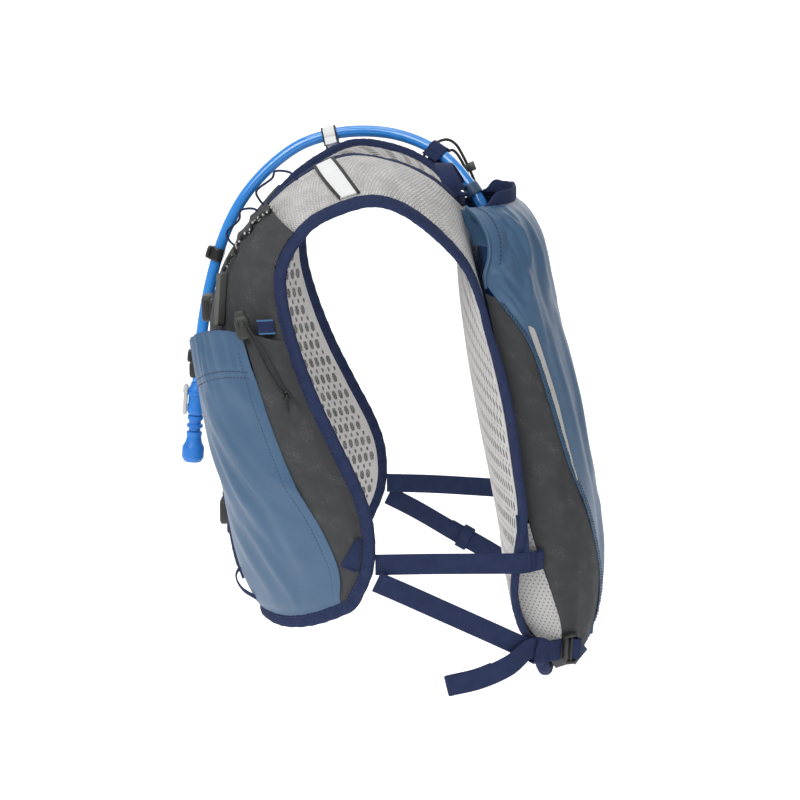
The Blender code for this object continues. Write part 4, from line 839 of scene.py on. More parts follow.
def perforated(name, start, end, whole=False, side="left"):
    """The lattice as one closed wall: each open cell is a ring of quads round an oval hole, and a cell that
    the strap's edge cuts is a closed fan.
    """
    length, reach, place, inside = strap_lattice(start, end, whole)
    pairs = int(length // (BIG_ROW + SMALL_ROW)) + 1
    heights = np.tile([BIG_ROW, SMALL_ROW], pairs) * (length / (pairs * (BIG_ROW + SMALL_ROW)))
    lines = np.concatenate([[0.0], np.cumsum(heights)])
    rows, half = len(heights), int(math.ceil(reach / HOLE_PITCH)) + 1
    count = 2 * half
    quarter = HOLE_PITCH / 4
    on_line_u = (np.arange(4 * count + 3) - 2 * count) * quarter
    # vertices: those on the horizontal lines, those in the middle of the uprights, then the holes' rims
    line_u, line_v = np.meshgrid(on_line_u, lines)
    middle_u = (4 * np.arange(count + 1)[None, :] + 2 * (np.arange(rows)[:, None] % 2) - 2 * count) * quarter
    middle_v = np.broadcast_to(0.5 * (lines[:-1] + lines[1:])[:, None], middle_u.shape)
    wide = len(on_line_u)
    first_middle = line_u.size
    row, cell = np.meshgrid(np.arange(rows), np.arange(count), indexing="ij")
    row, cell = row.ravel(), cell.ravel()
    left = row * wide + 4 * cell + 2 * (row % 2)
    above = left + wide
    upright = first_middle + row * (count + 1) + cell
    ring = np.stack([left, left + 1, left + 2, left + 3, left + 4, upright + 1, above + 4, above + 3, above + 2,
                     above + 1, above, upright], 1)
    u = np.concatenate([line_u.ravel(), middle_u.ravel()])
    v = np.concatenate([line_v.ravel(), middle_v.ravel()])
    kept = inside(u[ring], v[ring], 0.0).any(1)
    row, cell, ring = row[kept], cell[kept], ring[kept]
    open_cell = inside(u[ring], v[ring], -CELL_MARGIN).all(1)
    centre_u, centre_v = u[ring].mean(1), 0.5 * (lines[row] + lines[row + 1])
    turn = np.arctan2((v[ring] - centre_v[:, None]) / heights[row][:, None],
                      (u[ring] - centre_u[:, None]) / HOLE_PITCH)
    hole = np.where((row % 2 == 0)[:, None], [BIG_HOLE], [SMALL_HOLE]) / 2
    hole_u = centre_u[:, None] + hole[:, :1] * rounded_off(np.cos(turn), HOLE_SQUARENESS)
    hole_v = centre_v[:, None] + hole[:, 1:] * rounded_off(np.sin(turn), HOLE_SQUARENESS)
    hole_u, hole_v = hole_u[open_cell], hole_v[open_cell]
    rims = len(u) + np.arange(hole_u.size).reshape(-1, 12)
    solid = ring[~open_cell]
    hubs = len(u) + hole_u.size + np.arange(len(solid))
    all_u = np.concatenate([u, hole_u.ravel(), centre_u[~open_cell]])
    all_v = np.concatenate([v, hole_v.ravel(), centre_v[~open_cell]])
    total = len(all_u)
    outer, after = ring[open_cell], np.roll(ring[open_cell], -1, 1)
    rim_after = np.roll(rims, -1, 1)
    top = np.stack([outer, after, rim_after, rims], -1).reshape(-1, 4)
    hole_wall = np.stack([rims, rim_after, rim_after + total, rims + total], -1).reshape(-1, 4)
    fan = np.stack([solid, np.roll(solid, -1, 1), np.broadcast_to(hubs[:, None], solid.shape)], -1).reshape(-1, 3)
    start_edge, end_edge = ring.ravel(), np.roll(ring, -1, 1).ravel()
    key = np.minimum(start_edge, end_edge) * total + np.maximum(start_edge, end_edge)
    _, where, times = np.unique(key, return_index=True, return_counts=True)
    lone = where[times == 1]
    a, b = start_edge[lone], end_edge[lone]
    rim_wall = np.stack([b, a, a + total, b + total], -1)
    # the upper layer is the one nearer the core, so its faces point outwards and the lower ones inwards
    layers = [place(all_u, all_v, lift) for lift in LINING_LIFTS[::-1]]
    verts = np.concatenate(layers)
    uv = np.tile(np.stack([all_u, all_v], 1), (2, 1))
    faces = [top, top[:, ::-1] + total, hole_wall, rim_wall, fan, fan[:, ::-1] + total]
    used = np.unique(np.concatenate([f.ravel() for f in faces]))
    index = np.zeros(len(verts), int)
    index[used] = np.arange(len(used))
    faces = [index[f] for f in faces if len(f)]
    return finish_piece(mesh_piece(name, verts[used], faces, uv[used], side), "net_white", "mesh_white")


def body_grid(start, end, across, spacing=0.0042):
    """Rows of (station, across) places, spaced evenly along the strap."""
    dense = np.linspace(start, end, 400)
    line = body_plain(dense, np.full(400, 0.5))
    along = lengths_along(line)
    rows = np.interp(np.linspace(0, along[-1], int(along[-1] / spacing) + 2), along, dense)
    return np.meshgrid(rows, across, indexing="ij")


def whole_back(places):
    """Adds the right half of a grid that starts on the centre plane."""
    return np.concatenate([places[:, :0:-1] * FLIP, places], 1)


def make_pad():
    inner = np.linspace(0.05, 0.95, 18)
    across = np.concatenate([[0.0, 0.01, 0.025], inner, [0.975, 0.99, 1.0]])
    made = []
    for side in SIDES:
        places = body_grid(0.0, BACK_START, across)
        strap = body_surface(*body_grid(0.0, BACK_START, np.linspace(0, 1, 14), 0.006))
        outer = body_surface(*places, -edge_sink(*places, EDGE_SINK))
        made.append(shell(f"pad_knit_{side}", outer, KNIT_WALL, "mesh_white", KNIT_LIFT, side=side))
        made.append(shell(f"pad_core_{side}", strap, CORE_WALL, "core_dark", CORE_LIFT, slot="mesh_white", side=side))
        made.append(perforated(f"pad_lining_{side}", 0.0, BACK_START, side=side))
    back = whole_back(body_surface(*body_grid(BACK_START, LAST, across)))
    made.append(shell("pad_knit_back", back, KNIT_WALL, "mesh_white", KNIT_LIFT))
    made.append(shell("pad_core_back", back, CORE_WALL, "core_dark", CORE_LIFT, slot="mesh_white"))
    made.append(perforated("pad_lining_back", BACK_START, LAST, whole=True))
    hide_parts("mesh_body")
    return made


pad = make_pad()
print("pad:", [f"{piece.name} {len(piece.data.polygons)}" for piece in pad])

# %% [markdown]
# ## Edge tape
#
# Folded tape goes round every edge of the pad. Its section is a flattened superellipse, a little puckered
# by its stitches, and the stitches follow its inner edge.

# %%
TAPE_WIDTH, TAPE_HEIGHT = 0.0114, 0.0060
TAPE_OFFSET, TAPE_OUTSIDE, TAPE_STEP = 0.0040, 0.0048, 0.0016
HEM_WIDTH, HEM_HEIGHT = 0.0098, 0.0115
# columns: length, pitch, width
TAPE_STITCH, SEAM_STITCH, HEM_STITCH = (0.0022, 0.0032, 0.00055), (0.0019, 0.0029, 0.0005), (0.0019, 0.0029, 0.0008)
SLEEVE_STITCH, WING_STITCH = (0.0020, 0.0030, 0.0008), (0.0022, 0.0034, 0.0009)
BARTACK_STITCH = (0.0016, 0.0021, 0.0005)


def edge_line(stations, across, offset):
    """The pad's edge, moved out by offset, and the direction in which it moved."""
    across = np.full(len(stations), float(across))
    to_arm, onward, _ = body_axes(stations, across)
    square = unit(to_arm - onward * np.sum(to_arm * onward, axis=-1, keepdims=True))
    outward = square if across[0] > 0.5 else -square
    return body_plain(stations, across) + outward * offset, outward


def neck_edge(station):
    """One point outside the tape of the neck's edge."""
    return edge_line(np.array([station]), 0.0, TAPE_OUTSIDE)[0][0]


def foot_line(offset):
    """The same for the foot of the strap, from the arm side to the neck side."""
    across = np.linspace(1, 0, 24)
    zero = np.zeros(len(across))
    to_arm, onward, out = body_axes(zero, across)
    below = unit(np.cross(to_arm, out))
    below = below * np.sign(-np.sum(below * onward, axis=-1, keepdims=True))
    return body_plain(zero, across) + below * offset, below


def even_path(points, sideways, spacing):
    """The points and directions of a route at an even spacing, after its corners are rounded a little."""
    along = lengths_along(points)
    at = np.linspace(0, along[-1], int(along[-1] / spacing) + 2)
    even = sampled(at, along, np.concatenate([points, sideways], 1))
    kernel = np.hanning(9)
    kernel = kernel / kernel.sum()
    padded = np.concatenate([np.repeat(even[:1], 4, 0), even, np.repeat(even[-1:], 4, 0)])
    smooth = np.stack([np.convolve(padded[:, k], kernel, "valid") for k in range(6)], 1)
    return smooth[:, :3], unit(smooth[:, 3:])


def tape(name, points, sideways, replaces, width=TAPE_WIDTH, height=TAPE_HEIGHT, side="left"):
    path, sideways = even_path(points, sideways, TAPE_STEP)
    at = np.arange(len(path)) * TAPE_STEP
    pucker = 1 + 0.045 * np.sin(at / 0.00095) + 0.035 * np.sin(at / 0.0027 + 1.3) + 0.03 * np.sin(at / 0.011)
    wide = 1 + 0.03 * np.sin(at / 0.0019 + 0.7)
    section = round_section(width, height, 2.8, 16)
    return sweep(name, path, section, "binding_navy", sideways, np.stack([wide, pucker], 1),
                 replaces=replaces, side=side)


def stitches(path, out, stitch=TAPE_STITCH):
    """Short capsules laid end to end along a path, each half sunk in the cloth: one set of arrays."""
    length, pitch, width = stitch
    path, out = np.asarray(path, float), np.broadcast_to(np.asarray(out, float), np.shape(path))
    along = lengths_along(path)
    starts = np.arange(0.4 * pitch, along[-1] - length, pitch)
    ring = np.linspace(0, 2 * math.pi, 4, endpoint=False)
    shares, swell = np.array([0.0, 0.18, 0.82, 1.0]), np.array([0.4, 1.0, 1.0, 0.4])
    at = (starts[:, None] + length * shares).ravel()
    point = sampled(at, along, path).reshape(len(starts), 4, 3)
    up = unit(sampled(at, along, out)).reshape(len(starts), 4, 3)
    run = unit(point[:, -1:] - point[:, :1])
    beside = np.cross(run, up)
    arch = (np.sin(math.pi * shares) * 0.25 * width)[None, :, None, None]
    ring_offset = (np.cos(ring)[:, None] * beside[:, :, None] + np.sin(ring)[:, None] * up[:, :, None])
    verts = point[:, :, None] + ring_offset * (0.5 * width * swell)[None, :, None, None] + up[:, :, None] * arch
    n = len(starts)
    base = (np.arange(n) * 16)[:, None, None]
    k, j = np.arange(3)[None, :, None], np.arange(4)[None, None, :]
    a = base + 4 * k + j
    b = base + 4 * k + (j + 1) % 4
    quads = np.stack([a, a + 4, b + 4, b], -1).reshape(-1, 4)
    cap = np.arange(4)
    caps = [np.arange(n)[:, None] * 16 + cap, np.arange(n)[:, None] * 16 + 12 + cap[::-1]]
    uv = np.zeros((n * 16, 2))
    uv[:, 1] = np.repeat(at, 4)
    return verts.reshape(-1, 3), [quads, *caps], uv


def stitch_piece(name, parts, material="thread_navy", slot="binding_navy", side="left"):
    return finish_piece(mesh_piece(name, *joined(parts), side=side), material, slot)


def make_tape():
    arm_rows = np.linspace(LAST - 0.3, 0.0, 260)
    arm, arm_side = edge_line(arm_rows, 1.0, TAPE_OFFSET)
    foot, foot_side = foot_line(TAPE_OFFSET)
    arm, arm_side = np.vstack([arm, foot]), np.vstack([arm_side, foot_side])
    neck_rows = np.linspace(0.66, NECK_CENTRE - 0.5, 170)
    half, half_side = edge_line(neck_rows, 0.0, TAPE_OFFSET)
    centre = body_plain(np.array([float(NECK_CENTRE)]), np.zeros(1)) + [[0.0, 0.0, TAPE_OFFSET]]
    neck = np.vstack([half, centre, half[::-1] * FLIP])
    neck_side = np.vstack([half_side, [[0.0, 0.0, 1.0]], half_side[::-1] * FLIP])
    for side in SIDES:
        tape(f"arm_tape_{side}", arm, arm_side, [f"armhole_binding_{side}"], side=side)
        rows = []
        for lift in (0.0030, -0.0032):
            line = arm - arm_side * 0.0027
            out = np.cross(arm_side, directions(arm)) * np.sign(lift)
            rows.append(stitches(*even_path(line + out * abs(lift) * 0.86, out, 0.002)))
        stitch_piece(f"arm_tape_stitches_{side}", rows, side=side)
    tape("neck_tape", neck, neck_side, ["neck_binding"])
    hem = hem_line()
    hem = np.vstack([hem[::-1], hem[1:] * FLIP])
    tape("hem_tape", hem, np.tile([[0.0, -1.0, 0.0]], (len(hem), 1)), ["hem_binding"], HEM_WIDTH, HEM_HEIGHT)


def hem_line():
    """Midway between the feet of the sleeve and of the pad, just under the lower of the two."""
    aside = np.linspace(0, 0.86, 40)
    sleeve = sleeve_surface(np.full(40, float(LAST_LEVEL)), aside)
    across = np.clip(sleeve[:, 0] / (SECTIONS[-1][3] * HALF_WIDTH), 0, 1)
    pad_edge = body_plain(np.full(40, float(LAST)), across)
    line = 0.5 * (sleeve + pad_edge)
    line[:, 2] = np.minimum(sleeve[:, 2], pad_edge[:, 2]) - 0.0006
    return line


make_tape()
print("edge tape made")

# %% [markdown]
# ## Front pockets
#
# The blue panel and the grey gusset stand off the strap as a dome. Long creases run down the panel where
# the thin cloth hangs from its gathered mouth. Each crease is a Gaussian ridge about a line.

# %%
POCKET_DEPTH, POCKET_FOOT, POCKET_MOUTH_IN, POCKET_MOUTH_OUT = 0.031, 0.12, 5.80, 6.10
POCKET_MOUTH_RISE, POCKET_EDGE, SEAM_SHARE, CLOTH_FOOT = 0.35, 0.022, 0.004, 0.01
POCKET_SEAM = (0.950, 0.890, 0.830, 0.800, 0.800, 0.820, 0.825, 0.810)
UPPER_DEPTH, UPPER_FOOT, UPPER_TOP_IN, UPPER_TOP_OUT = 0.007, 5.5, 9.30, 8.72
STATION_LENGTH, STRAP_WIDTH = 0.022, 0.100
HEM_DEPTHS, SEAM_STITCHES = (0.019, 0.0165), 0.0055
PLEAT_PITCH, PLEAT_HEIGHT = 0.0068, 0.0017
PANEL_DEEPENED, GREY_DEEPENED = 1.7, 1.5
CLOTH_WALL, CLOTH_SINK = 0.0009, 0.0024
# the grids' rows and columns
PANEL_GRID, GUSSET_GRID, UPPER_GRID = (112, 66), (110, 38), (96, 50)
# the upper cloth's flap: the station of its fold, how far that drops towards the arm, and its step and roll
FLAP_STATION, FLAP_SLANT, FLAP_STEP, FLAP_ROLL = 8.35, 0.5, 0.0013, 0.0014

# columns: across, station, across, station, width, height (both in metres)
PANEL_CREASES = (
    (0.39, 5.00, 0.60, 2.66, 0.0042, 0.0016), (0.45, 4.95, 0.61, 3.30, 0.0030, 0.0010),
    (0.42, 3.40, 0.53, 1.56, 0.0036, 0.0014), (0.37, 2.06, 0.56, 0.34, 0.0036, 0.0012),
    (0.35, 4.20, 0.45, 2.20, 0.0032, 0.0012), (0.70, 3.55, 0.80, 3.15, 0.0042, 0.0010),
    (0.70, 5.25, 0.79, 4.85, 0.0050, 0.0009), (0.50, 5.75, 0.46, 5.10, 0.0040, 0.0010),
    (0.60, 1.25, 0.76, 1.35, 0.0055, 0.0009), (0.58, 2.40, 0.68, 1.30, 0.0050, 0.0008),
    (0.20, 4.60, 0.30, 2.40, 0.0050, 0.0012), (0.15, 2.40, 0.35, 0.70, 0.0050, 0.0012),
    (0.44, 4.20, 0.58, 2.20, 0.0050, -0.0010), (0.48, 2.60, 0.62, 0.80, 0.0060, -0.0009),
    (0.60, 5.30, 0.70, 4.20, 0.0070, -0.0010), (0.66, 2.90, 0.76, 2.20, 0.0060, -0.0008),
)
GUSSET_CREASES = (
    (0.84, 3.45, 0.96, 3.20, 0.0050, 0.0010), (0.86, 2.62, 0.97, 2.45, 0.0045, 0.0010),
    (0.88, 1.80, 0.95, 1.20, 0.0050, 0.0010), (0.84, 3.05, 0.97, 2.85, 0.0050, -0.0008),
    (0.88, 4.90, 0.92, 4.00, 0.0050, 0.0007),
)


def ridges(x, y, rows, x_size, y_size):
    """The sum of h exp(-(d/w)^2), where d is the distance to each row's line."""
    total = np.zeros(np.shape(x))
    for x0, y0, x1, y1, width, height in rows:
        dx, dy = (x1 - x0) * x_size, (y1 - y0) * y_size
        ax, ay = (x - x0) * x_size, (y - y0) * y_size
        share = np.clip((ax * dx + ay * dy) / (dx * dx + dy * dy), 0, 1)
        distance = np.hypot(ax - share * dx, ay - share * dy)
        fade = 0.35 + 0.65 * np.sin(math.pi * np.clip(share, 0.08, 0.92))
        total += height * fade * hump(distance, width)
    return total


def hump(x, width):
    """exp(-(x/w)^2)"""
    return np.exp(-((x / width) ** 2))


def ripple(x, y, scale, seed):
    """Soft unevenness: five plane waves with seeded directions, between -1 and 1."""
    random = np.random.default_rng(seed)
    total = np.zeros(np.shape(x))
    turns, phases = random.uniform(0, math.pi, 5), random.uniform(0, 6.28, 5)
    for turn, phase, pitch in zip(turns, phases, (1, 1.3, 1.7, 2.3, 3.1)):
        total += np.sin((x * math.cos(turn) + y * math.sin(turn)) * 2 * math.pi / scale * pitch + phase) / pitch
    return total / 3


def pocket_lift(station, across):
    dome = np.sin(math.pi * np.clip(across, 0.0, 1.0)) ** 0.8
    rise = np.sin(0.5 * math.pi * np.clip((station - POCKET_FOOT) / 4.6, 0, 1)) ** 0.9
    return FACE + POCKET_DEPTH * dome * rise


def upper_lift(station, across):
    dome = np.sin(math.pi * np.clip(across, 0.0, 1.0)) ** 0.9
    return FACE + UPPER_DEPTH * dome * np.clip((UPPER_TOP_IN - station) / 1.6, 0, 1)


def pocket_at(station, across, lift=0.0):
    station, across = np.broadcast_arrays(np.asarray(station, float), np.asarray(across, float))
    return body_surface(station, across, pocket_lift(station, across) + CLOTH + lift)


def upper_at(station, across):
    station, across = np.broadcast_arrays(np.asarray(station, float), np.asarray(across, float))
    return body_surface(station, across, upper_lift(station, across) + CLOTH)


def pocket_mouth(across):
    level = POCKET_MOUTH_IN + (POCKET_MOUTH_OUT - POCKET_MOUTH_IN) * across
    return level + POCKET_MOUTH_RISE * np.sin(math.pi * across**1.6)


def pocket_seam(station):
    return np.minimum(spline(POCKET_SEAM, station)[..., 0], 1 - POCKET_EDGE - 2 * SEAM_SHARE)


def pocket_places(share_from, share_to, rows, columns):
    """A grid from the foot to the slanted mouth. Its rows and its sides settle on each other in three rounds."""
    up, part = np.meshgrid(np.linspace(0, 1, rows), np.linspace(0, 1, columns), indexing="ij")
    station = CLOTH_FOOT + (POCKET_MOUTH_IN - CLOTH_FOOT) * up
    for _ in range(3):
        across = share_from(station) + (share_to(station) - share_from(station)) * part
        station = CLOTH_FOOT + (pocket_mouth(across) - CLOTH_FOOT) * up
    return station, across, up, part


def below_mouth(station, across):
    """The depth under the pocket's mouth, in metres."""
    return (pocket_mouth(across) - station) * STATION_LENGTH


def panel_relief(station, across):
    """Creases, a gathered hem with its pleats, and a seam allowance that stands up along the rear edge."""
    depth = below_mouth(station, across)
    x = across * STRAP_WIDTH
    creases = PANEL_DEEPENED * ridges(across, station, PANEL_CREASES, STRAP_WIDTH, STATION_LENGTH)
    gather = 0.5 + 0.5 * np.sin(2 * math.pi * (x / PLEAT_PITCH + 0.25 * np.sin(x / 0.004)))
    pleats = PLEAT_HEIGHT * gather * hump(depth, 0.020)
    in_hem = smoothstep(HEM_DEPTHS[0] - depth, -0.0006, 0.0006)
    stitch_line = sum(hump(depth - line, 0.0010) for line in HEM_DEPTHS)
    lip = hump(depth - 0.001, 0.0022)
    seam = (pocket_seam(station) - across) * STRAP_WIDTH
    allowance = 0.0005 * smoothstep(0.0065 - seam, -0.0004, 0.0004) - 0.0005 * hump(seam - SEAM_STITCHES, 0.0008)
    soft = 0.0005 * ripple(x, station * STATION_LENGTH, 0.05, 3)
    return creases + pleats + 0.0005 * in_hem + 0.0007 * lip - 0.0006 * stitch_line + allowance + soft


def gusset_relief(station, across):
    """Creases, and a groove along the seam with the panel."""
    soft = 0.0005 * ripple(across * STRAP_WIDTH, station * STATION_LENGTH, 0.035, 5)
    seam = (across - pocket_seam(station)) * STRAP_WIDTH
    creases = GREY_DEEPENED * ridges(across, station, GUSSET_CREASES, STRAP_WIDTH, STATION_LENGTH)
    return creases + soft - 0.0007 * hump(seam, 0.0016)


def make_front_pockets():
    panel = pocket_places(lambda s: 0 * s + 0.002, lambda s: pocket_seam(s) - SEAM_SHARE, *PANEL_GRID)
    gusset = pocket_places(lambda s: pocket_seam(s) - 3 * SEAM_SHARE, lambda s: 0 * s + 0.998, *GUSSET_GRID)
    grids = []
    for (station, across, *_), relief, high in ((panel, panel_relief, 0.0004), (gusset, gusset_relief, 0.0003)):
        sink = edge_sink(station, across, CLOTH_SINK)
        lift = pocket_lift(station, across) + high + relief(station, across) * (1 - sink / CLOTH_SINK) - sink
        grids.append(body_surface(station, across, lift))
    panel_grid, gusset_grid = grids

    def stitched(station, across, stitch):
        lift = panel_relief(station, across) + CLOTH_WALL - CLOTH + 0.0005
        return stitches(pocket_at(station, across, lift), body_axes(station, across)[2], stitch)

    station, across = np.linspace(POCKET_FOOT + 0.05, 5.95, 240), np.linspace(0.04, 0.80, 160)
    rows = [stitched(station, pocket_seam(station) - SEAM_STITCHES / STRAP_WIDTH, SEAM_STITCH)]
    rows += [stitched(pocket_mouth(across) - depth / STATION_LENGTH, across, HEM_STITCH) for depth in HEM_DEPTHS]
    for side in SIDES:
        blue = shell(f"pocket_{side}", panel_grid, CLOTH_WALL, "ripstop_blue", side=side,
                     replaces=[f"pocket_panel_{side}"])
        grey = shell(f"gusset_{side}", gusset_grid, CLOTH_WALL, "stretch_grey", side=side,
                     replaces=[f"pocket_gusset_{side}"])
        stitch_piece(f"pocket_stitches_{side}", rows, "thread_blue", "ripstop_blue", side)


def make_upper_pockets():
    rows, columns = UPPER_GRID
    share, across = np.meshgrid(np.linspace(0, 1, rows), np.linspace(0.002, 0.998, columns), indexing="ij")
    top = UPPER_TOP_IN + (UPPER_TOP_OUT - UPPER_TOP_IN) * across
    station = UPPER_FOOT + (top - UPPER_FOOT) * share
    fold_at = FLAP_STATION - FLAP_SLANT * across
    flap = smoothstep(station, fold_at - 0.03, fold_at + 0.03)
    rolled = hump((station - fold_at) * STATION_LENGTH, 0.0022)
    relief = FLAP_STEP * flap + FLAP_ROLL * rolled + 0.0004 * ripple(across * 0.08, station * STATION_LENGTH, 0.03, 8)
    sink = edge_sink(station, across, CLOTH_SINK)
    grid = body_surface(station, across, upper_lift(station, across) + 0.0002 + relief - sink)
    for side in SIDES:
        piece = shell(f"upper_cloth_{side}", grid, CLOTH_WALL, "stretch_grey", side=side,
                      replaces=[f"upper_pocket_{side}"])


make_front_pockets()
make_upper_pockets()
print("front pockets made")

# %% [markdown]
# ## Sleeve on the back
#
# Three cloths meet along seams: the blue back panel with its wings, the grey side gussets and the white
# knitted cheeks low down. A collar of tape edges the mouth, and the reservoir shows behind the gaping wing.

# %%
GUSSET_TOP, MESH_TOP, SLEEVE_SEAM = 5.0, 9.3, 0.006
LEVEL_LENGTH, SLEEVE_WIDTH, CLOTH_LIFT = 0.0235, 0.130, 0.0003
SLEEVE_LEVELS, BACK_COLUMNS, SIDE_COLUMNS, CHEEK_COLUMNS = 136, 104, 46, 30
NET_WALL, STRIP_WALL, FACING_WALL = 0.0011, 0.0003, 0.0008
SEAM_INSETS = (0.0050, 0.0022)
MOUTH_REACH, MOUTH_RISE, MOUTH_DIP, MOUTH_SAG = 0.80, 0.0052, 0.0048, 0.0012
MOUTH_TAPE, WING_EDGE = (0.0104, 0.0030, 3.0, 20), (0.0044, 0.0022, 3.0, 14)
# columns: aside, level, aside, level, width, height
BACK_CREASES = (
    (0.94, 2.90, 0.72, 3.70, 0.0034, 0.0011), (0.95, 3.30, 0.76, 4.60, 0.0034, 0.0010),
    (0.84, 0.30, 0.70, 1.50, 0.0040, 0.0011), (0.76, 0.20, 0.60, 1.30, 0.0034, 0.0012),
    (0.68, 0.20, 0.56, 2.20, 0.0050, 0.0010), (0.80, 1.60, 0.70, 3.00, 0.0050, -0.0010),
    (0.90, 4.30, 0.78, 5.20, 0.0034, 0.0009), (0.62, 3.40, 0.55, 5.60, 0.0050, 0.0010),
    (0.52, 9.00, 0.44, 11.2, 0.0040, 0.0010),
    (0.55, 0.30, 0.56, 2.60, 0.0050, 0.0016), (0.36, 0.60, 0.28, 3.60, 0.0055, 0.0016),
    (0.24, 4.80, 0.20, 8.40, 0.0060, 0.0018), (0.62, 3.20, 0.66, 4.60, 0.0050, 0.0012),
    (0.10, 9.40, 0.12, 12.2, 0.0065, 0.0014), (0.44, 1.80, 0.40, 4.80, 0.0070, -0.0014),
    (0.14, 0.60, 0.12, 4.20, 0.0075, 0.0015), (0.46, 5.40, 0.38, 8.20, 0.0060, 0.0010),
    (0.30, 7.40, 0.16, 10.6, 0.0070, -0.0012), (0.80, 2.90, 0.92, 3.60, 0.0050, 0.0012),
    (0.72, 1.10, 0.90, 3.00, 0.0060, -0.0010), (0.08, 6.00, 0.05, 9.00, 0.0080, -0.0012),
)
SIDE_CREASES = (
    (0.70, 7.2, 0.78, 10.4, 0.0080, 0.0008), (0.58, 10.6, 0.62, 13.6, 0.0070, 0.0009),
    (0.80, 5.8, 0.86, 7.4, 0.0060, 0.0007), (0.40, 12.2, 0.46, 14.4, 0.0060, 0.0009),
)
# columns: level, aside of the stripe's middle, its width
STRIPE = (
    (5.38, 0.700, 0.0030), (5.46, 0.694, 0.0076), (6.00, 0.669, 0.0082), (6.60, 0.637, 0.0078),
    (7.10, 0.611, 0.0068), (7.60, 0.590, 0.0052), (8.10, 0.562, 0.0034), (8.50, 0.536, 0.0014),
)
# columns: level, aside
WING_STITCHES = ((-0.05, 0.90), (0.55, 0.86), (1.30, 0.87), (2.30, 0.90), (3.20, 0.92))
# columns: half_width, front, rear, height, as shares of the driving sizes
RESERVOIR_ROWS = (
    (0.240, 0.800, 0.990, -0.152), (0.470, 0.780, 1.060, -0.166), (0.580, 0.775, 1.110, -0.200),
    (0.625, 0.800, 1.170, -0.300), (0.650, 0.840, 1.300, -0.460), (0.665, 0.940, 1.420, -0.630),
    (0.665, 1.035, 1.490, -0.800), (0.600, 1.110, 1.470, -0.930), (0.420, 1.200, 1.390, -1.000),
)
RESERVOIR_RINGS, RESERVOIR_POINTS, RESERVOIR_SQUARENESS = 90, 96, 2.3


def sleeve_at(level, aside, lift=0.0):
    """The sleeve's surface for aside from -1 on the right, over the rear middle, to 1 on the left."""
    level, aside, lift = np.broadcast_arrays(np.asarray(level, float), np.asarray(aside, float), lift)
    point = sleeve_surface(level, np.abs(aside), lift + 1e-9)
    return mirrored_where(aside < 0, point)


def sleeve_out(level, aside):
    return unit(sleeve_at(level, aside, 0.001) - sleeve_at(level, aside, 0.0))


def seam_aside(number, level):
    """Where seam 0 (panel to gusset) or seam 1 (gusset to cheek) runs."""
    return np.clip(column(SLEEVE_SEAMS, number, level), 0.0, 1.0)


def sleeve_patch(levels, first, last, columns, relief, low=CLOTH_LIFT):
    level, part = np.meshgrid(levels, np.linspace(0, 1, columns), indexing="ij")
    aside = first(level) + (last(level) - first(level)) * part
    return sleeve_at(level, aside, low + relief(level, aside))


def back_relief(level, aside):
    x = np.abs(aside)
    folds = PANEL_DEEPENED * ridges(x, level, BACK_CREASES, SLEEVE_WIDTH, LEVEL_LENGTH)
    soft = 0.0006 * ripple(x * SLEEVE_WIDTH, level * LEVEL_LENGTH, 0.06, 12)
    seam = (seam_aside(0, level) - x) * SLEEVE_WIDTH
    puckers = 0.0005 * np.sin(level * LEVEL_LENGTH / 0.0011) * hump(seam, 0.009) * (level > GUSSET_TOP)
    return folds + soft + puckers * 0.4 + 0.0006 * smoothstep(0.006 - seam, -0.0005, 0.0005) * (level > GUSSET_TOP)


def side_relief(level, aside):
    folds = GREY_DEEPENED * ridges(aside, level, SIDE_CREASES, SLEEVE_WIDTH, LEVEL_LENGTH)
    seam = np.minimum(aside - seam_aside(0, level), seam_aside(1, level) - aside) * SLEEVE_WIDTH
    soft = 0.0005 * ripple(aside * SLEEVE_WIDTH, level * LEVEL_LENGTH, 0.05, 15)
    return folds + soft - 0.0006 * hump(seam, 0.002)


def cheek_relief(level, aside):
    return 0.0006 * ripple(aside * SLEEVE_WIDTH, level * LEVEL_LENGTH, 0.03, 17)


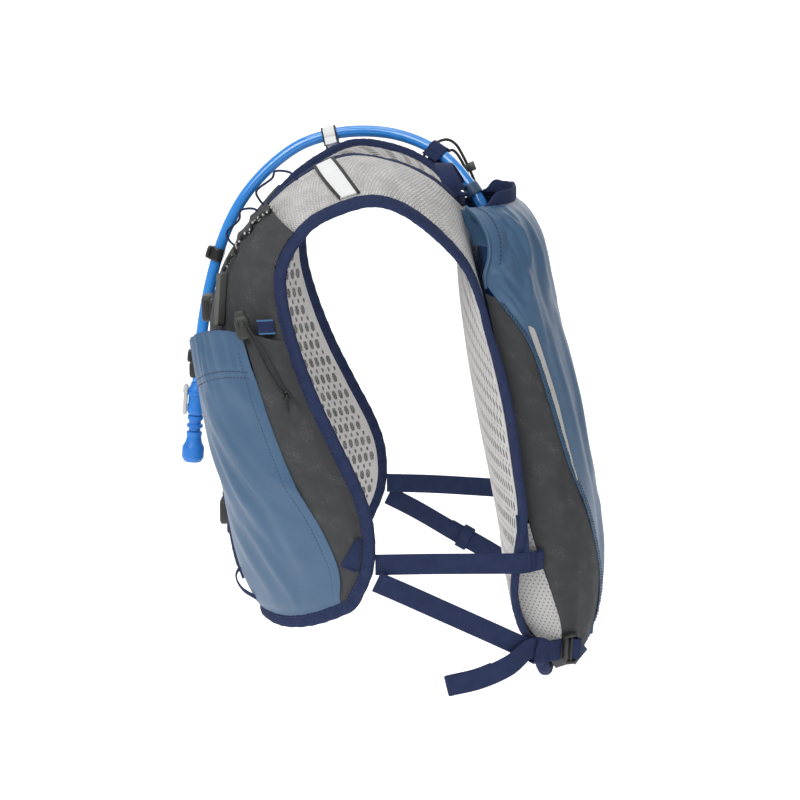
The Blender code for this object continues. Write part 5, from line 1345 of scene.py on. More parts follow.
def make_sleeve():
    levels = np.linspace(0, LAST_LEVEL, SLEEVE_LEVELS)

    def half_seam(level, top):
        return np.where(level > top, SLEEVE_SEAM / 2, 0.0)

    # aside runs from the left to the right, so that the grid's normals point outwards
    whole = sleeve_patch(
        levels, lambda s: seam_aside(0, s) - half_seam(s, GUSSET_TOP),
        lambda s: -seam_aside(0, s) + half_seam(s, GUSSET_TOP), BACK_COLUMNS, back_relief)
    blue = shell("sleeve_back", whole, CLOTH_WALL, "ripstop_blue", flip=True, replaces=["reservoir_sleeve"])
    gusset = sleeve_patch(
        levels[levels > GUSSET_TOP - 0.15], lambda s: np.minimum(seam_aside(0, s) - 2 * SLEEVE_SEAM, 0.98),
        lambda s: seam_aside(1, s) - half_seam(s, MESH_TOP), SIDE_COLUMNS, side_relief, 0.0001)
    cheek = sleeve_patch(
        levels[levels > MESH_TOP], lambda s: seam_aside(1, s) + SLEEVE_SEAM / 2,
        lambda s: 0 * s + 1.0, CHEEK_COLUMNS, cheek_relief)

    def stitched(level, aside, stitch):
        place = sleeve_at(level, aside, CLOTH_LIFT + back_relief(level, aside) + 0.0010)
        return stitches(place, sleeve_out(level, aside), stitch)

    level = np.linspace(4.9, 14.95, 400)
    rows = [stitched(level, seam_aside(0, level) - inset / SLEEVE_WIDTH, SLEEVE_STITCH) for inset in SEAM_INSETS]
    wing = spline(WING_STITCHES, np.linspace(0, len(WING_STITCHES) - 1, 120))
    rows.append(stitched(wing[:, 0], wing[:, 1], WING_STITCH))
    stripe = spline(STRIPE, np.linspace(0, len(STRIPE) - 1, 80))
    stripe_level = np.repeat(stripe[:, :1], 5, 1)
    stripe_aside = stripe[:, 1:2] + np.linspace(-0.5, 0.5, 5) * stripe[:, 2:3] / SLEEVE_WIDTH
    strip = sleeve_at(stripe_level, stripe_aside, 0.0013 + back_relief(stripe_level, stripe_aside))
    for side in SIDES:
        grey = shell(f"sleeve_side_{side}", gusset, CLOTH_WALL, "stretch_grey", side=side,
                     replaces=[f"sleeve_gusset_{side}"])
        white = shell(f"cheek_{side}", cheek, NET_WALL, "net_eyes", slot="mesh_white", side=side,
                      replaces=[f"side_mesh_{side}"])
        stitch_piece(f"sleeve_stitches_{side}", rows, "thread_blue", "ripstop_blue", side)
        shell(f"bright_strip_{side}", strip, STRIP_WALL, "reflective_grey", slot="valve_grey", side=side)
    aside = np.linspace(MOUTH_REACH, -MOUTH_REACH, 220)
    rim = sleeve_at(np.zeros(220), aside) + [0.0, 0.0, MOUTH_RISE]
    taper = 0.25 + 0.85 * smoothstep(MOUTH_REACH - np.abs(aside), 0.0, 0.22)
    rim[:, 2] += MOUTH_SAG * ripple(aside * 0.1, 0 * aside, 0.05, 21)
    rim[:, 2] -= MOUTH_DIP * (1.1 - taper)
    sweep("mouth_tape", rim, round_section(*MOUTH_TAPE), "binding_navy", [0.0, 0.0, 1.0],
          np.stack([taper, 1 + 0 * taper], 1), replaces=["mouth_binding"])
    # the free front edge of each wing, folded back
    level = np.linspace(0.0, 4.6, 160)
    edge = sleeve_at(level, np.full(160, 0.992), 0.0008)
    for side in SIDES:
        sweep(f"wing_edge_{side}", edge, round_section(*WING_EDGE), "ripstop_blue",
              sleeve_out(level, np.full(160, 0.95)), side=side)


def make_facings():
    """The sleeve's inner wall beside each wing, which closes the view between the wing and the pad."""
    level, part = np.meshgrid(np.linspace(0.15, 2.4, 34), np.linspace(0, 1, 14), indexing="ij")
    edge = sleeve_at(level, np.full(level.shape, 0.975), -0.0016)
    inward = np.array([-0.024, -0.014, 0.0]) * part[..., None]
    belly = 0.0035 * np.sin(math.pi * part) * (1 + 0.4 * ripple(level * 0.02, part * 0.03, 0.03, 41))
    grid = edge + inward + np.stack([0 * belly, belly, 0 * belly], -1)
    for side in SIDES:
        piece = shell(f"wing_facing_{side}", grid, FACING_WALL, "ripstop_blue", side=side)


def make_reservoir():
    """A lofted bag of superelliptic sections, drawn in a little where the film wrinkles."""
    rows = spline(RESERVOIR_ROWS, np.linspace(0, len(RESERVOIR_ROWS) - 1, RESERVOIR_RINGS))
    turn = full_turn(RESERVOIR_POINTS)
    x = rows[:, :1] * HALF_WIDTH * rounded_off(np.cos(turn), RESERVOIR_SQUARENESS)
    deep = 0.5 * REACH * (rows[:, 2:3] - rows[:, 1:2]) * rounded_off(np.sin(turn), RESERVOIR_SQUARENESS)
    y = 0.5 * REACH * (rows[:, 1:2] + rows[:, 2:3]) + deep
    z = rows[:, 3:4] * DROP + 0 * x
    swell = np.sin(np.linspace(0, math.pi, RESERVOIR_RINGS))[:, None]
    wrinkle = 1 - 0.020 * np.abs(ripple(x, z, 0.05, 31)) * swell
    centre_y = y.mean(1, keepdims=True)
    verts = np.stack([x * wrinkle, centre_y + (y - centre_y) * wrinkle, z], -1)
    ends = np.stack([verts[-1].mean(0), verts[0].mean(0)])
    uv = np.stack([np.broadcast_to(turn * 0.05, x.shape), z], -1)
    # the rings run downwards, so they are handed over from the last to the first
    verts, uv = (np.concatenate([rings[::-1].reshape(-1, rings.shape[-1]), poles])
                 for rings, poles in ((verts, ends), (uv, np.zeros((2, 2)))))
    piece = mesh_piece("reservoir_film", verts, capped_quads(RESERVOIR_RINGS, RESERVOIR_POINTS), uv)
    finish_piece(piece, "reservoir_blue", replaces=["reservoir"])


def eye_material():
    """The cheeks' knit: staggered round eyes in a lattice of hexagons, each eye's middle dark grey as painted shade
    for the shadowed inside seen through it.
    """
    tree, shader = new_material("net_eyes", Roughness=0.9)
    place = place_of(tree)
    eyes = use_group(tree, "eyes", place, Pitch=0.0030)
    knit = use_group(tree, "knit", place, Pitch=0.0010)
    base = blend_colour(tree, knit, (0.50, 0.49, 0.48), (0.82, 0.81, 0.80))
    # the dark grey in the eyes is painted shade: the shadowed inside of the sleeve seen through the open eyes
    tree.links.new(blend_colour(tree, eyes, base, (0.26, 0.26, 0.26)), shader.inputs["Base Color"])
    bump(tree, shader, calc(tree, "SUBTRACT", knit, calc(tree, "MULTIPLY", eyes, 2.0)), 0.6, 0.0006)


def build_eyes(tree, given):
    """A hexagonal lattice from three waves at 60 degrees: their sum is largest in the middle of each eye."""
    parts = add_node(tree, "ShaderNodeSeparateXYZ", {0: given["Place"]}).outputs
    waves = []
    for turn in (0.0, math.pi / 3, 2 * math.pi / 3):
        along = calc(tree, "ADD", calc(tree, "MULTIPLY", parts[0], math.sin(turn)),
                     calc(tree, "MULTIPLY", parts[1], math.cos(turn)))
        waves.append(threads(tree, along, given["Pitch"]))
    total = calc(tree, "ADD", calc(tree, "ADD", waves[0], waves[1]), waves[2])
    return [smooth_from(tree, total, 1.2, 2.3)]


GROUPS["eyes"] = node_group("Hexagonal eyes", [PLACE, ("Pitch", 0.003)], ["Eye"], build_eyes)
eye_material()
make_sleeve()
make_facings()
make_reservoir()
print("sleeve and reservoir made")

# %% [markdown]
# ## Hose, its loops and the bite valve
#
# The hose follows the frame's route. The valve is turned from a few profiles, and its lever is the one
# piece that rides on the frame's moving body.

# %%
HOSE_RADIUS, LOOP_GAP, BAND_THICKNESS = 0.0048, 0.0006, 0.0014
HOSE_ROUTE = (
    (-0.0320, 0.1036, -0.0538), (-0.0370, 0.0960, -0.0370), (-0.0460, 0.0850, -0.0205),
    (-0.0560, 0.0720, -0.0062), (-0.0645, 0.0560, 0.0045), (-0.0705, 0.0360, 0.0126),
    (-0.0740, 0.0150, 0.0167), (-0.0755, -0.0080, 0.0170), (-0.0755, -0.0300, 0.0135),
    (-0.0750, -0.0530, 0.0050), (-0.0740, -0.0760, -0.0120), (-0.0725, -0.0965, -0.0350),
    (-0.0710, -0.1115, -0.0620), (-0.0695, -0.1218, -0.0920), (-0.0685, -0.1290, -0.1220),
    (-0.0675, -0.1338, -0.1520), (-0.0670, -0.1365, -0.1790), (-0.0668, -0.1372, -0.1890),
)
VALVE_RADIUS, VALVE_LENGTH, VALVE_GAP = 0.0072, 0.028, 0.0004
LEVER_THICKNESS, LEVER_WIDTH, LEVER_LENGTH, LEVER_DROP = 0.0030, 0.0095, 0.026, 0.007
NECK_LENGTH, BITE_LENGTH, BITE_RADIUS = 0.013, 0.026, 0.0092
HALF_VALVE = VALVE_LENGTH / 2
# the turned pieces' profiles; columns: radius, height
VALVE_PROFILE = (
    (0.0004, -HALF_VALVE), (0.0058, -HALF_VALVE), (VALVE_RADIUS, -HALF_VALVE + 0.003),
    (VALVE_RADIUS, -HALF_VALVE + 0.0085),
    (0.0067, -HALF_VALVE + 0.0092), (0.0067, HALF_VALVE - 0.0085), (VALVE_RADIUS, HALF_VALVE - 0.0078),
    (VALVE_RADIUS, HALF_VALVE - 0.006), (0.0058, HALF_VALVE - 0.0032), (0.0052, HALF_VALVE), (0.0004, HALF_VALVE),
)
RIM_PROFILE = ((0.0052, -0.0016), (0.0078, -0.0016), (0.0078, 0.0016), (0.0052, 0.0016))
BOSS_PROFILE = ((0.0003, -0.0004), (0.0032, -0.0004), (0.0032, 0.0008), (0.0003, 0.0008))
COLLAR_PROFILE = (
    (0.0004, -NECK_LENGTH), (0.0050, -NECK_LENGTH), (0.0050, -0.78 * NECK_LENGTH), (0.0068, -0.74 * NECK_LENGTH),
    (0.0068, -0.56 * NECK_LENGTH), (0.0050, -0.52 * NECK_LENGTH), (0.0054, -0.3 * NECK_LENGTH),
    (0.0064, -0.26 * NECK_LENGTH), (0.0064, 0.0), (0.0004, 0.0),
)
BITE_PROFILE = (
    (0.0004, -BITE_LENGTH + 0.0022), (0.0040, -BITE_LENGTH + 0.0016), (0.0066, -BITE_LENGTH),
    (BITE_RADIUS, -0.84 * BITE_LENGTH), (BITE_RADIUS, -0.50 * BITE_LENGTH), (0.0068, -0.34 * BITE_LENGTH),
    (0.0060, -0.16 * BITE_LENGTH), (0.0066, -0.06 * BITE_LENGTH), (0.0066, 0.0), (0.0004, 0.0),
)
CLIP_SHARES = {"upper": 0.745, "lower": 0.952}
CLIP_BAND, CLIP_PAD, CLIP_RIB = (0.011, 0.0022, 4.0, 20), (0.0040, 0.0105, 0.0105), (0.0010, 0.0030, 2.0, 10)
CLIP_OPENING, RIB_SHIFTS = 0.72 * math.pi, (-0.003, 0.0, 0.003)
# columns: height as a share of the thickness, share of the outline's full size
SLAB_LAYERS = ((-0.5, 0.55), (-0.38, 0.86), (-0.22, 1.0), (0.22, 1.0), (0.38, 0.86), (0.5, 0.55))
AHEAD = np.array([0.0, -1.0, 0.0])
UP = np.array([0.0, 0.0, 1.0])
BESIDE = np.array([1.0, 0.0, 0.0])


def slab(name, outline, thickness, place, x_axis, z_axis, material, edge=0.0005, **ride):
    """A flat piece with rounded edges: its outline (n, 2), anticlockwise and seen whole from its middle."""
    outline = np.asarray(outline, float)
    middle = outline.mean(0)
    away = outline - middle
    layers = []
    for height, share in SLAB_LAYERS:
        inset = np.maximum(np.linalg.norm(away, axis=1, keepdims=True) - edge * (1 - share) * 2, 1e-5)
        layer = middle + unit(away) * inset
        layers.append(np.concatenate([layer, np.full((len(outline), 1), height * thickness)], 1))
    local = np.concatenate([*layers, [[*middle, -0.5 * thickness]], [[*middle, 0.5 * thickness]]])
    verts, faces = placed(local, place, x_axis, z_axis), capped_quads(len(layers), len(outline))
    return finish_piece(mesh_piece(name, verts, faces, local[:, :2]), material, **ride)


def rounded_outline(width, height, corner, count=6):
    points = []
    for quarter, (sx, sy) in enumerate(((1, 1), (-1, 1), (-1, -1), (1, -1))):
        for t in np.linspace(0, 0.5 * math.pi, count) + quarter * 0.5 * math.pi:
            points.append((sx * (width / 2 - corner) + corner * math.cos(t),
                           sy * (height / 2 - corner) + corner * math.sin(t)))
    return np.array(points)


def ring_sweep(name, outline, section, place, x_axis, z_axis, material, side="left", **ride):
    """A closed bar round an outline: a frame, a loop or a band."""
    outline = np.asarray(outline, float)
    z = unit(np.asarray(z_axis, float))
    y = unit(np.cross(z, x_axis))
    x = np.cross(y, z)
    path = np.asarray(place) + outline[:, :1] * x + outline[:, 1:] * y
    return sweep(name, path, section, material, z, cyclic=True, side=side, **ride)


def hose_place(share):
    """A point of the hose and its direction there, by share of the hose's length."""
    path = resampled(HOSE_ROUTE, 200)
    at = int(share * 199)
    return path[at], directions(path)[at]


def loop_over_hose(name, station, across, lift, width, material, edge_material, replaces):
    """A band from the strap over the hose and back, at a place given as if it were on the left."""
    point = body_surface(station, across)
    out = body_axes(np.asarray(station), np.asarray(across))[2]
    path = resampled(HOSE_ROUTE, 200) * FLIP
    near = int(np.argmin(np.linalg.norm(path - (point + out * lift), axis=1)))
    centre, run = path[near], directions(path)[near]
    out = unit(out - run * np.dot(out, run))
    beside = np.cross(run, out)
    radius = HOSE_RADIUS + LOOP_GAP + 0.0008
    depth = lift - FACE - 0.0012
    turn = np.linspace(-0.15 * math.pi, 1.15 * math.pi, 60)
    arc = np.stack([radius * np.cos(turn), radius * np.sin(turn)], 1)
    foot = radius + 0.0022
    profile = np.vstack([[[foot + 0.001, -depth], [foot, -depth]], arc, [[-foot, -depth], [-foot - 0.001, -depth]]])
    route = resampled(np.concatenate([profile, np.zeros((len(profile), 1))], 1), 110)
    route = centre + route[:, :1] * beside + route[:, 1:2] * out
    sweep(name, route, round_section(width, BAND_THICKNESS, 5.0, 28), material, run, side="right", replaces=replaces)
    rim = round_section(0.0016, BAND_THICKNESS * 1.25, 3.0, 12)
    edges = [swept(route + run * sign * (width / 2 - 0.0008), rim, run) for sign in (-1, 1)]
    finish_piece(mesh_piece(f"{name}_edges", *joined(edges), side="right"), edge_material, material)


def make_hose():
    path = resampled(HOSE_ROUTE, 160)
    hose = cord_curve("hose", path, HOSE_RADIUS, "hose_blue", replaces=["drinking_hose"])
    loop_over_hose("white_loop", 10.62, 0.087, 0.0131, 0.012, "band_white", "cord_black", ["hose_loop_shoulder"])
    loop_over_hose("navy_loop", 12.95, 0.080, 0.0122, 0.014, "webbing_navy", "binding_navy", ["hose_loop_back"])
    coarse = resampled(HOSE_ROUTE, 21)
    centre, run = 0.5 * (coarse[1] + coarse[2]), unit(coarse[2] - coarse[1])
    wing = sleeve_surface(np.array(0.0), np.array(1.0)) * FLIP - centre
    wing = unit(wing - run * np.dot(wing, run))
    t = full_turn(48)
    ring = np.stack([np.cos(t), np.sin(t)], 1) * (HOSE_RADIUS + LOOP_GAP + 0.0007)
    ring_sweep("blue_tab_ring", ring, round_section(0.010, 0.0013, 5.0, 20), centre, wing, run, "ripstop_blue",
               replaces=["hose_tab"])
    rounded("blue_tab_lug", (0.0075, 0.0030, 0.0098), centre + wing * (HOSE_RADIUS + 0.0040), wing, run,
            "ripstop_blue", power=5.0)
    t = np.linspace(-CLIP_OPENING, CLIP_OPENING, 60)
    for name, share in CLIP_SHARES.items():
        place, run = hose_place(share)
        out = unit(AHEAD - run * np.dot(AHEAD, run))
        radius = HOSE_RADIUS + LOOP_GAP + 0.0011
        side = np.cross(run, out)
        arc = place + radius * (np.cos(t)[:, None] * out + np.sin(t)[:, None] * side)
        sweep(f"clip_{name}", arc, round_section(*CLIP_BAND), "hard_black", run, replaces=[f"hose_clip_{name}"])
        rounded(f"clip_{name}_pad", CLIP_PAD, place + out * (radius + 0.0012), out, run, "hard_black")
        parts = [swept(arc[14:46] + run * shift, round_section(*CLIP_RIB), run) for shift in RIB_SHIFTS]
        finish_piece(mesh_piece(f"clip_{name}_ribs", *joined(parts)), "hard_black")
    return hose


def make_valve():
    coarse = resampled(HOSE_ROUTE, 21)
    end, run = coarse[-1], unit(coarse[-1] - coarse[-2])
    ahead = unit(AHEAD - run * np.dot(AHEAD, run))
    up = -run
    centre = end + run * (VALVE_GAP + HALF_VALVE)
    turned("valve_body", softened(VALVE_PROFILE, 0.0009), centre, ahead, up, "valve_blue",
           replaces=["valve_housing"])
    turned("valve_rim", softened(RIM_PROFILE, 0.0006), centre + up * (HALF_VALVE - 0.0095), ahead, up, "valve_blue")
    pivot = end + run * (VALVE_GAP + LEVER_DROP) + ahead * (VALVE_RADIUS + VALVE_GAP + LEVER_THICKNESS / 2)
    arm = LEVER_LENGTH - LEVER_WIDTH / 2
    t = np.linspace(0, math.pi, 24)
    top = np.stack([0.5 * LEVER_WIDTH * np.cos(t), 0.5 * LEVER_WIDTH * np.sin(t)], 1)
    low_t = np.linspace(math.pi, 2 * math.pi, 14)
    low = np.stack([0.0034 * np.cos(low_t), -arm + 0.0022 + 0.0022 * np.sin(low_t)], 1)
    across = np.cross(up, ahead)
    slab("lever_arm", np.vstack([top, low]), LEVER_THICKNESS, pivot, across, ahead, "valve_grey", 0.0006,
         body="lever", replaces=["valve_lever"])
    turned("lever_boss", softened(BOSS_PROFILE, 0.0004),
           pivot + ahead * LEVER_THICKNESS * 0.5, across, ahead, "valve_grey", body="lever")
    neck_top = centre + run * (HALF_VALVE + VALVE_GAP)
    turned("valve_collar", softened(COLLAR_PROFILE, 0.0005), neck_top, ahead, up, "valve_blue",
           replaces=["valve_neck"])
    bite_top = neck_top + run * (NECK_LENGTH + VALVE_GAP)
    turned("mouthpiece", softened(BITE_PROFILE, 0.0016, 6), bite_top, ahead, up, "valve_blue", steps=64,
           replaces=["bite_tip"])


hose = make_hose()
make_valve()
HOSE_LENGTH = length_of(resampled(HOSE_ROUTE, 400))
print("hose", round(HOSE_LENGTH, 3), "m")

# %% [markdown]
# ## Webbing and buckles
#
# A strap is a flat section carried along its route with its width upright. The weave of its material gives it fine
# ribs all over. The ladder buckle is a frame with a middle bar and a lip, and its webbing turns round the far side of
# the frame.

# %%
SIDE_WIDTH, STERNUM_WIDTH = 0.016, 0.015
UPPER_ROUTE = (
    (1.020, 0.142, -0.803), (0.995, 0.450, -0.803), (0.960, 0.750, -0.805), (0.932, 0.960, -0.807),
    (0.905, 1.085, -0.808), (0.808, 1.204, -0.808),
)
LOWER_ROUTE = (
    (1.052, 0.150, -0.836), (1.024, 0.350, -0.868), (0.968, 0.620, -0.915), (0.918, 0.870, -0.958),
    (0.852, 1.095, -0.998), (0.785, 1.220, -1.012), (0.712, 1.322, -1.016),
)
TAIL_ROUTE = ((0.918, 0.990, -1.030), (0.926, 0.804, -1.059), (0.934, 0.607, -1.075))
TAIL_FOLD, TAIL_FOLD_GAP, TAIL_LENGTH = 0.040, 0.0012, 0.108
KEEPER_GAP, KEEPER_LENGTH, KEEPER_SHARES = 0.0008, 0.010, {"left": 0.86, "right": 0.46}
BUCKLE_LENGTH, BUCKLE_RIM, BUCKLE_THICKNESS, STAND_OFF = 0.016, 0.0045, 0.0036, 0.0028
WEBBING_SEATS = ((13.42, 0.45), (13.58, 0.37), (13.72, 0.29))
FLAT = round_section(SIDE_WIDTH, WEB, 7.0, 24)


def upright(path):
    """The direction across a strap that stands on its edge."""
    run = directions(path)
    return unit(UP - run * (run @ UP)[:, None])


def strap(name, path, sideways, section=FLAT, replaces=(), side="left", **ride):
    return sweep(name, path, section, "webbing_navy", sideways, side=side, replaces=replaces, **ride)


def bartack(path_point, run, up, out, width, rows=3):
    """Rows of short stitches across a strap."""
    share = np.linspace(-0.46, 0.46, 40)[:, None]
    line = path_point + up * share * width + out * (WEB / 2 + 0.0001)
    return [stitches(line + run * shift, out, BARTACK_STITCH) for shift in np.linspace(-0.0014, 0.0014, rows)]


def make_buckle(side, end, run, up, out):
    centre = end + run * (BUCKLE_LENGTH / 2 + SEAT) + out * STAND_OFF
    height = SIDE_WIDTH + 2 * BUCKLE_RIM
    outline = rounded_outline(BUCKLE_LENGTH - 0.0030, height - 0.0036, 0.0035, 8)
    frame_bar = round_section(BUCKLE_THICKNESS, 0.0034, 2.8, 18)
    ring_sweep(f"buckle_{side}", outline, frame_bar, centre, run, out, "hard_black", side=side,
               replaces=[f"ladder_buckle_{side}"])
    lip = centre - run * 0.0066 + out * 0.0012
    rounded(f"buckle_bar_{side}", (0.0028, SIDE_WIDTH + 0.004, 0.0030), centre, run, out, "hard_black", side=side)
    rounded(f"buckle_lip_{side}", (0.0040, SIDE_WIDTH + 0.002, 0.0030), lip, run, out, "hard_black", side=side)
    lift = CLOTH + 0.0010 + WEB / 2
    seats = np.array([sleeve_at(level, aside, lift) for level, aside in WEBBING_SEATS])
    path = resampled(np.vstack([centre + run * (BUCKLE_LENGTH / 2 + 0.0009), seats]), 50)
    ends = np.array([up, *[-unit(sleeve_at(level + 0.05, aside) - sleeve_at(level - 0.05, aside))
                           for level, aside in WEBBING_SEATS]])
    strap(f"buckle_web_{side}", path, resampled(ends, 50), replaces=[f"buckle_webbing_{side}"], side=side)
    # the webbing that passes round the buckle's far bar
    over = centre + run * 0.0052
    t = full_turn(40)
    around = over + 0.0030 * np.cos(t)[:, None] * out + 0.0042 * np.sin(t)[:, None] * run
    sweep(f"buckle_turn_{side}", around, round_section(SIDE_WIDTH, 0.0013, 6.0, 20), "webbing_navy", up, cyclic=True,
          side=side)


def make_keeper(side, path, share):
    at = int(share * (len(path) - 1))
    up, run = upright(path)[at], directions(path)[at]
    out = np.cross(run, up)
    centre = path[at] + out * (WEB + KEEPER_GAP) / 2
    outline = rounded_outline(SIDE_WIDTH + 0.0030, 2 * WEB + 3 * KEEPER_GAP + 0.0016, 0.0018, 8)
    ring_sweep(f"keeper_{side}", outline, round_section(KEEPER_LENGTH, 0.0014, 5.0, 18), centre, up, run,
               "webbing_navy", side=side, replaces=[f"strap_keeper_{side}"])


def make_side_straps():
    upper, lower = (resampled(np.array(route) * SIZES, 120) for route in (UPPER_ROUTE, LOWER_ROUTE))
    up, run = upright(lower), directions(lower)
    out = unit(np.cross(run, up))
    wave = 0.0004 * np.sin(np.linspace(0, 9, 120))[:, None]
    upper_run, upper_up = directions(upper), upright(upper)
    upper_out = np.cross(upper_run, upper_up)
    rows = [row for k in (4, -8) for row in bartack(upper[k], upper_run[k], upper_up[k], upper_out[k], SIDE_WIDTH)]
    rows += bartack(lower[4], run[4], up[4], out[4], SIDE_WIDTH)
    for side, share in KEEPER_SHARES.items():
        strap(f"strap_upper_{side}", upper, upper_up, replaces=[f"upper_side_strap_{side}"], side=side)
        strap(f"strap_lower_{side}", lower + out * wave, up, replaces=[f"lower_side_strap_{side}"], side=side)
        make_buckle(side, lower[-1], run[-1], up[-1], out[-1])
        make_keeper(side, resampled(lower, 101), share)
        stitch_piece(f"strap_bartacks_{side}", rows, side=side)
        # the thin triangle of tape that braces the upper strap against the pad's edge
        first = upper[-18] - upper_up[-18] * 0.006
        seat = body_surface(19.95, 1.0) + np.array([0.004, 0.0, 0.0])
        brace = resampled(np.array([first, 0.5 * (first + seat) + [0.0012, 0, 0.001], seat]), 40)
        strap(f"strap_brace_{side}", brace, np.cross(directions(brace), [1.0, 0.0, 0.0]),
              round_section(0.0085, 0.0012, 6.0, 20), side=side)
        # the small fold of tape that takes the upper strap's end
        fold = upper[-6] + upper_out[-6] * 0.0006
        rounded(f"strap_end_{side}", (0.0075, 0.0032, 0.0135), fold, upper_run[-6], UP, "binding_navy", power=6.0,
                side=side)
    beside = lower + out * (WEB + KEEPER_GAP)
    leaving = resampled(beside, 5, 0.80, 0.98)[::-1]
    tail = resampled(np.vstack([leaving, np.array(TAIL_ROUTE) * SIZES]), 90)
    tail_up, tail_run = upright(tail), directions(tail)
    tail_out = unit(np.cross(tail_up, tail_run))
    low = resampled(tail, 40, 1 - TAIL_FOLD / TAIL_LENGTH, 0.985)[::-1]
    gap = WEB + TAIL_FOLD_GAP
    t = np.linspace(0.15, 0.85, 7)[:, None] * math.pi
    turn = tail[-1] - tail_out[-1] * gap / 2 + 0.5 * gap * (np.cos(t) * tail_out[-1] + np.sin(t) * tail_run[-1])
    path = np.vstack([tail, turn, low - tail_out[-1] * gap])
    width = np.vstack([tail_up, np.repeat(tail_up[-1:], len(path) - len(tail), 0)])
    strap("tail_left", path, width, replaces=["strap_tail_left"])
    stitch_piece("tail_bartack", bartack(tail[-30], tail_run[-30], tail_up[-30], -tail_out[-30], SIDE_WIDTH, 5))
    spare = resampled(beside, 80, 0.36, 0.98)
    strap("tail_right", spare, upright(spare), replaces=["strap_tail_right"], side="right")


# a strap's station, its bow as a share of REACH, and its inset
STERNUM = {"upper": (6.40, 0.030, 0.0003), "lower": (1.95, 0.030, 0.0009)}
STERNUM_BUCKLE = (0.034, 0.0085, 0.021)


def make_sternum():
    for name, (station, bow, inset) in STERNUM.items():
        start = neck_edge(station)
        half = start[0] - 0.0042 - inset
        share = np.linspace(-1, 1, 90)
        path = np.stack([half * share, start[1] - bow * REACH * (1 - share**2), np.full(90, start[2])], 1)
        strap(f"chest_strap_{name}", path, UP, round_section(STERNUM_WIDTH, WEB, 7.0, 36),
              replaces=[f"sternum_strap_{name}"])
        front = start[1] - bow * REACH - WEB / 2 - SEAT - STERNUM_BUCKLE[1] / 2
        centre = np.array([0.0, front, start[2]])
        across, deep, tall = STERNUM_BUCKLE
        # a socket, a plug that enters it, two side prongs and a web bar at each end
        rounded(f"chest_socket_{name}", (across * 0.56, deep, tall), centre + [across * 0.2, 0, 0], BESIDE, UP,
                "hard_grey", power=5.0, slot="hard_black", replaces=[f"sternum_buckle_{name}"])
        rounded(f"chest_plug_{name}", (across * 0.40, deep * 0.7, tall * 0.86), centre - [across * 0.28, 0, 0],
                BESIDE, UP, "hard_grey", slot="hard_black")
        for sign, low_high, side in ((-1, "low", "right"), (1, "high", "left")):
            prong = centre + [-0.02 * across, -0.0003, sign * tall * 0.40]
            rounded(f"chest_prong_{name}_{low_high}", (across * 0.5, deep * 0.55, 0.0034), prong, BESIDE, UP,
                    "hard_grey", slot="hard_black")
            ring_sweep(f"chest_loop_{name}_{side}", rounded_outline(0.0085, 0.019, 0.003),
                       round_section(0.0030, 0.0026, 2.5, 12), start * [sign, 1, 1] + [-sign * 0.007, -0.0030, 0.0],
                       BESIDE, AHEAD, "hard_black")


make_side_straps()
make_sternum()
print("webbing made")

# %% [markdown]
# ## Small pieces
#
# The band on the left shoulder, the hang loop, the cords with their lock, toggles and pull tab, the pull of
# the lower hose clip, and the short ends of tape along the edges.

# %%
HANG_SHAPE, HANG_STATION = (0.024, 0.020, 0.011), 14.9
TOP_CORDS = {
    "outer": (
        (-0.0820, 0.0485, -0.0045), (-0.0822, 0.0545, 0.0025), (-0.0825, 0.0610, 0.0080),
        (-0.0818, 0.0690, 0.0098), (-0.0808, 0.0760, 0.0055), (-0.0800, 0.0815, -0.0035),
        (-0.0794, 0.0860, -0.0125), (-0.0780, 0.0895, -0.0200), (-0.0740, 0.0925, -0.0275),
    ),
    "inner": (
        (-0.0800, 0.0640, -0.0130), (-0.0800, 0.0655, -0.0060), (-0.0802, 0.0685, -0.0005),
        (-0.0802, 0.0725, 0.0015), (-0.0798, 0.0765, -0.0015), (-0.0794, 0.0803, -0.0075),
        (-0.0789, 0.0835, -0.0135), (-0.0765, 0.0865, -0.0205), (-0.0725, 0.0895, -0.0285),
    ),
}
LOCK_PROFILE = (
    (0.0005, -0.0070), (0.0036, -0.0070), (0.0038, -0.0062), (0.0038, -0.0030), (0.0033, -0.0026),
    (0.0033, 0.0026), (0.0038, 0.0030), (0.0038, 0.0062), (0.0036, 0.0070), (0.0005, 0.0070),
)
LOCK_PLACE, LOCK_AXIS, LOCK_RUN = (-0.0790, 0.0847, -0.0132), (0.0, 0.93, 0.37), (0.0, 0.37, -0.93)
# columns: station, across, height over the upper pocket's cloth
LASH_LOOPS = {
    "upper": (
        (10.02, 0.10, -0.0024), (10.00, 0.05, 0.005), (9.84, 0.01, 0.0115), (9.58, 0.00, 0.0140),
        (9.34, 0.01, 0.0105), (9.20, 0.05, 0.0045), (9.16, 0.10, -0.0020),
    ),
    "lower": (
        (8.98, 0.10, -0.0020), (8.95, 0.05, 0.004), (8.78, 0.01, 0.0095), (8.50, 0.00, 0.0115),
        (8.24, 0.01, 0.0085), (8.10, 0.05, 0.0035), (8.06, 0.10, -0.0020),
    ),
}
DRAWCORD_ROUTE = (
    (6.50, 0.850, 0.0082), (6.38, 0.860, 0.0090), (6.22, 0.875, 0.0082), (6.05, 0.890, 0.0050),
    (5.85, 0.900, 0.0018), (5.55, 0.915, 0.0003), (5.25, 0.930, 0.0003), (5.02, 0.942, 0.0003),
    (4.85, 0.945, 0.0003),
)
TOGGLE_SIZE, TOGGLE_PLACE = (0.011, 0.018, 0.007), (6.42, 0.83)
TAB_ACROSS, TAB_LIFT = (0.905, 0.985), -0.0021
PULL_SIZE, PULL_PLACE = (0.0092, 0.040, 0.0054), (6.85, 0.45)
CLIP_PULL_TOP = (-0.0640, -0.1372, -0.1610)
CLIP_PULL_DROPS = ((0, 0, 0), (0.001, -0.0035, -0.0035), (0.001, -0.0042, -0.0080), (0.001, -0.0036, -0.0115))
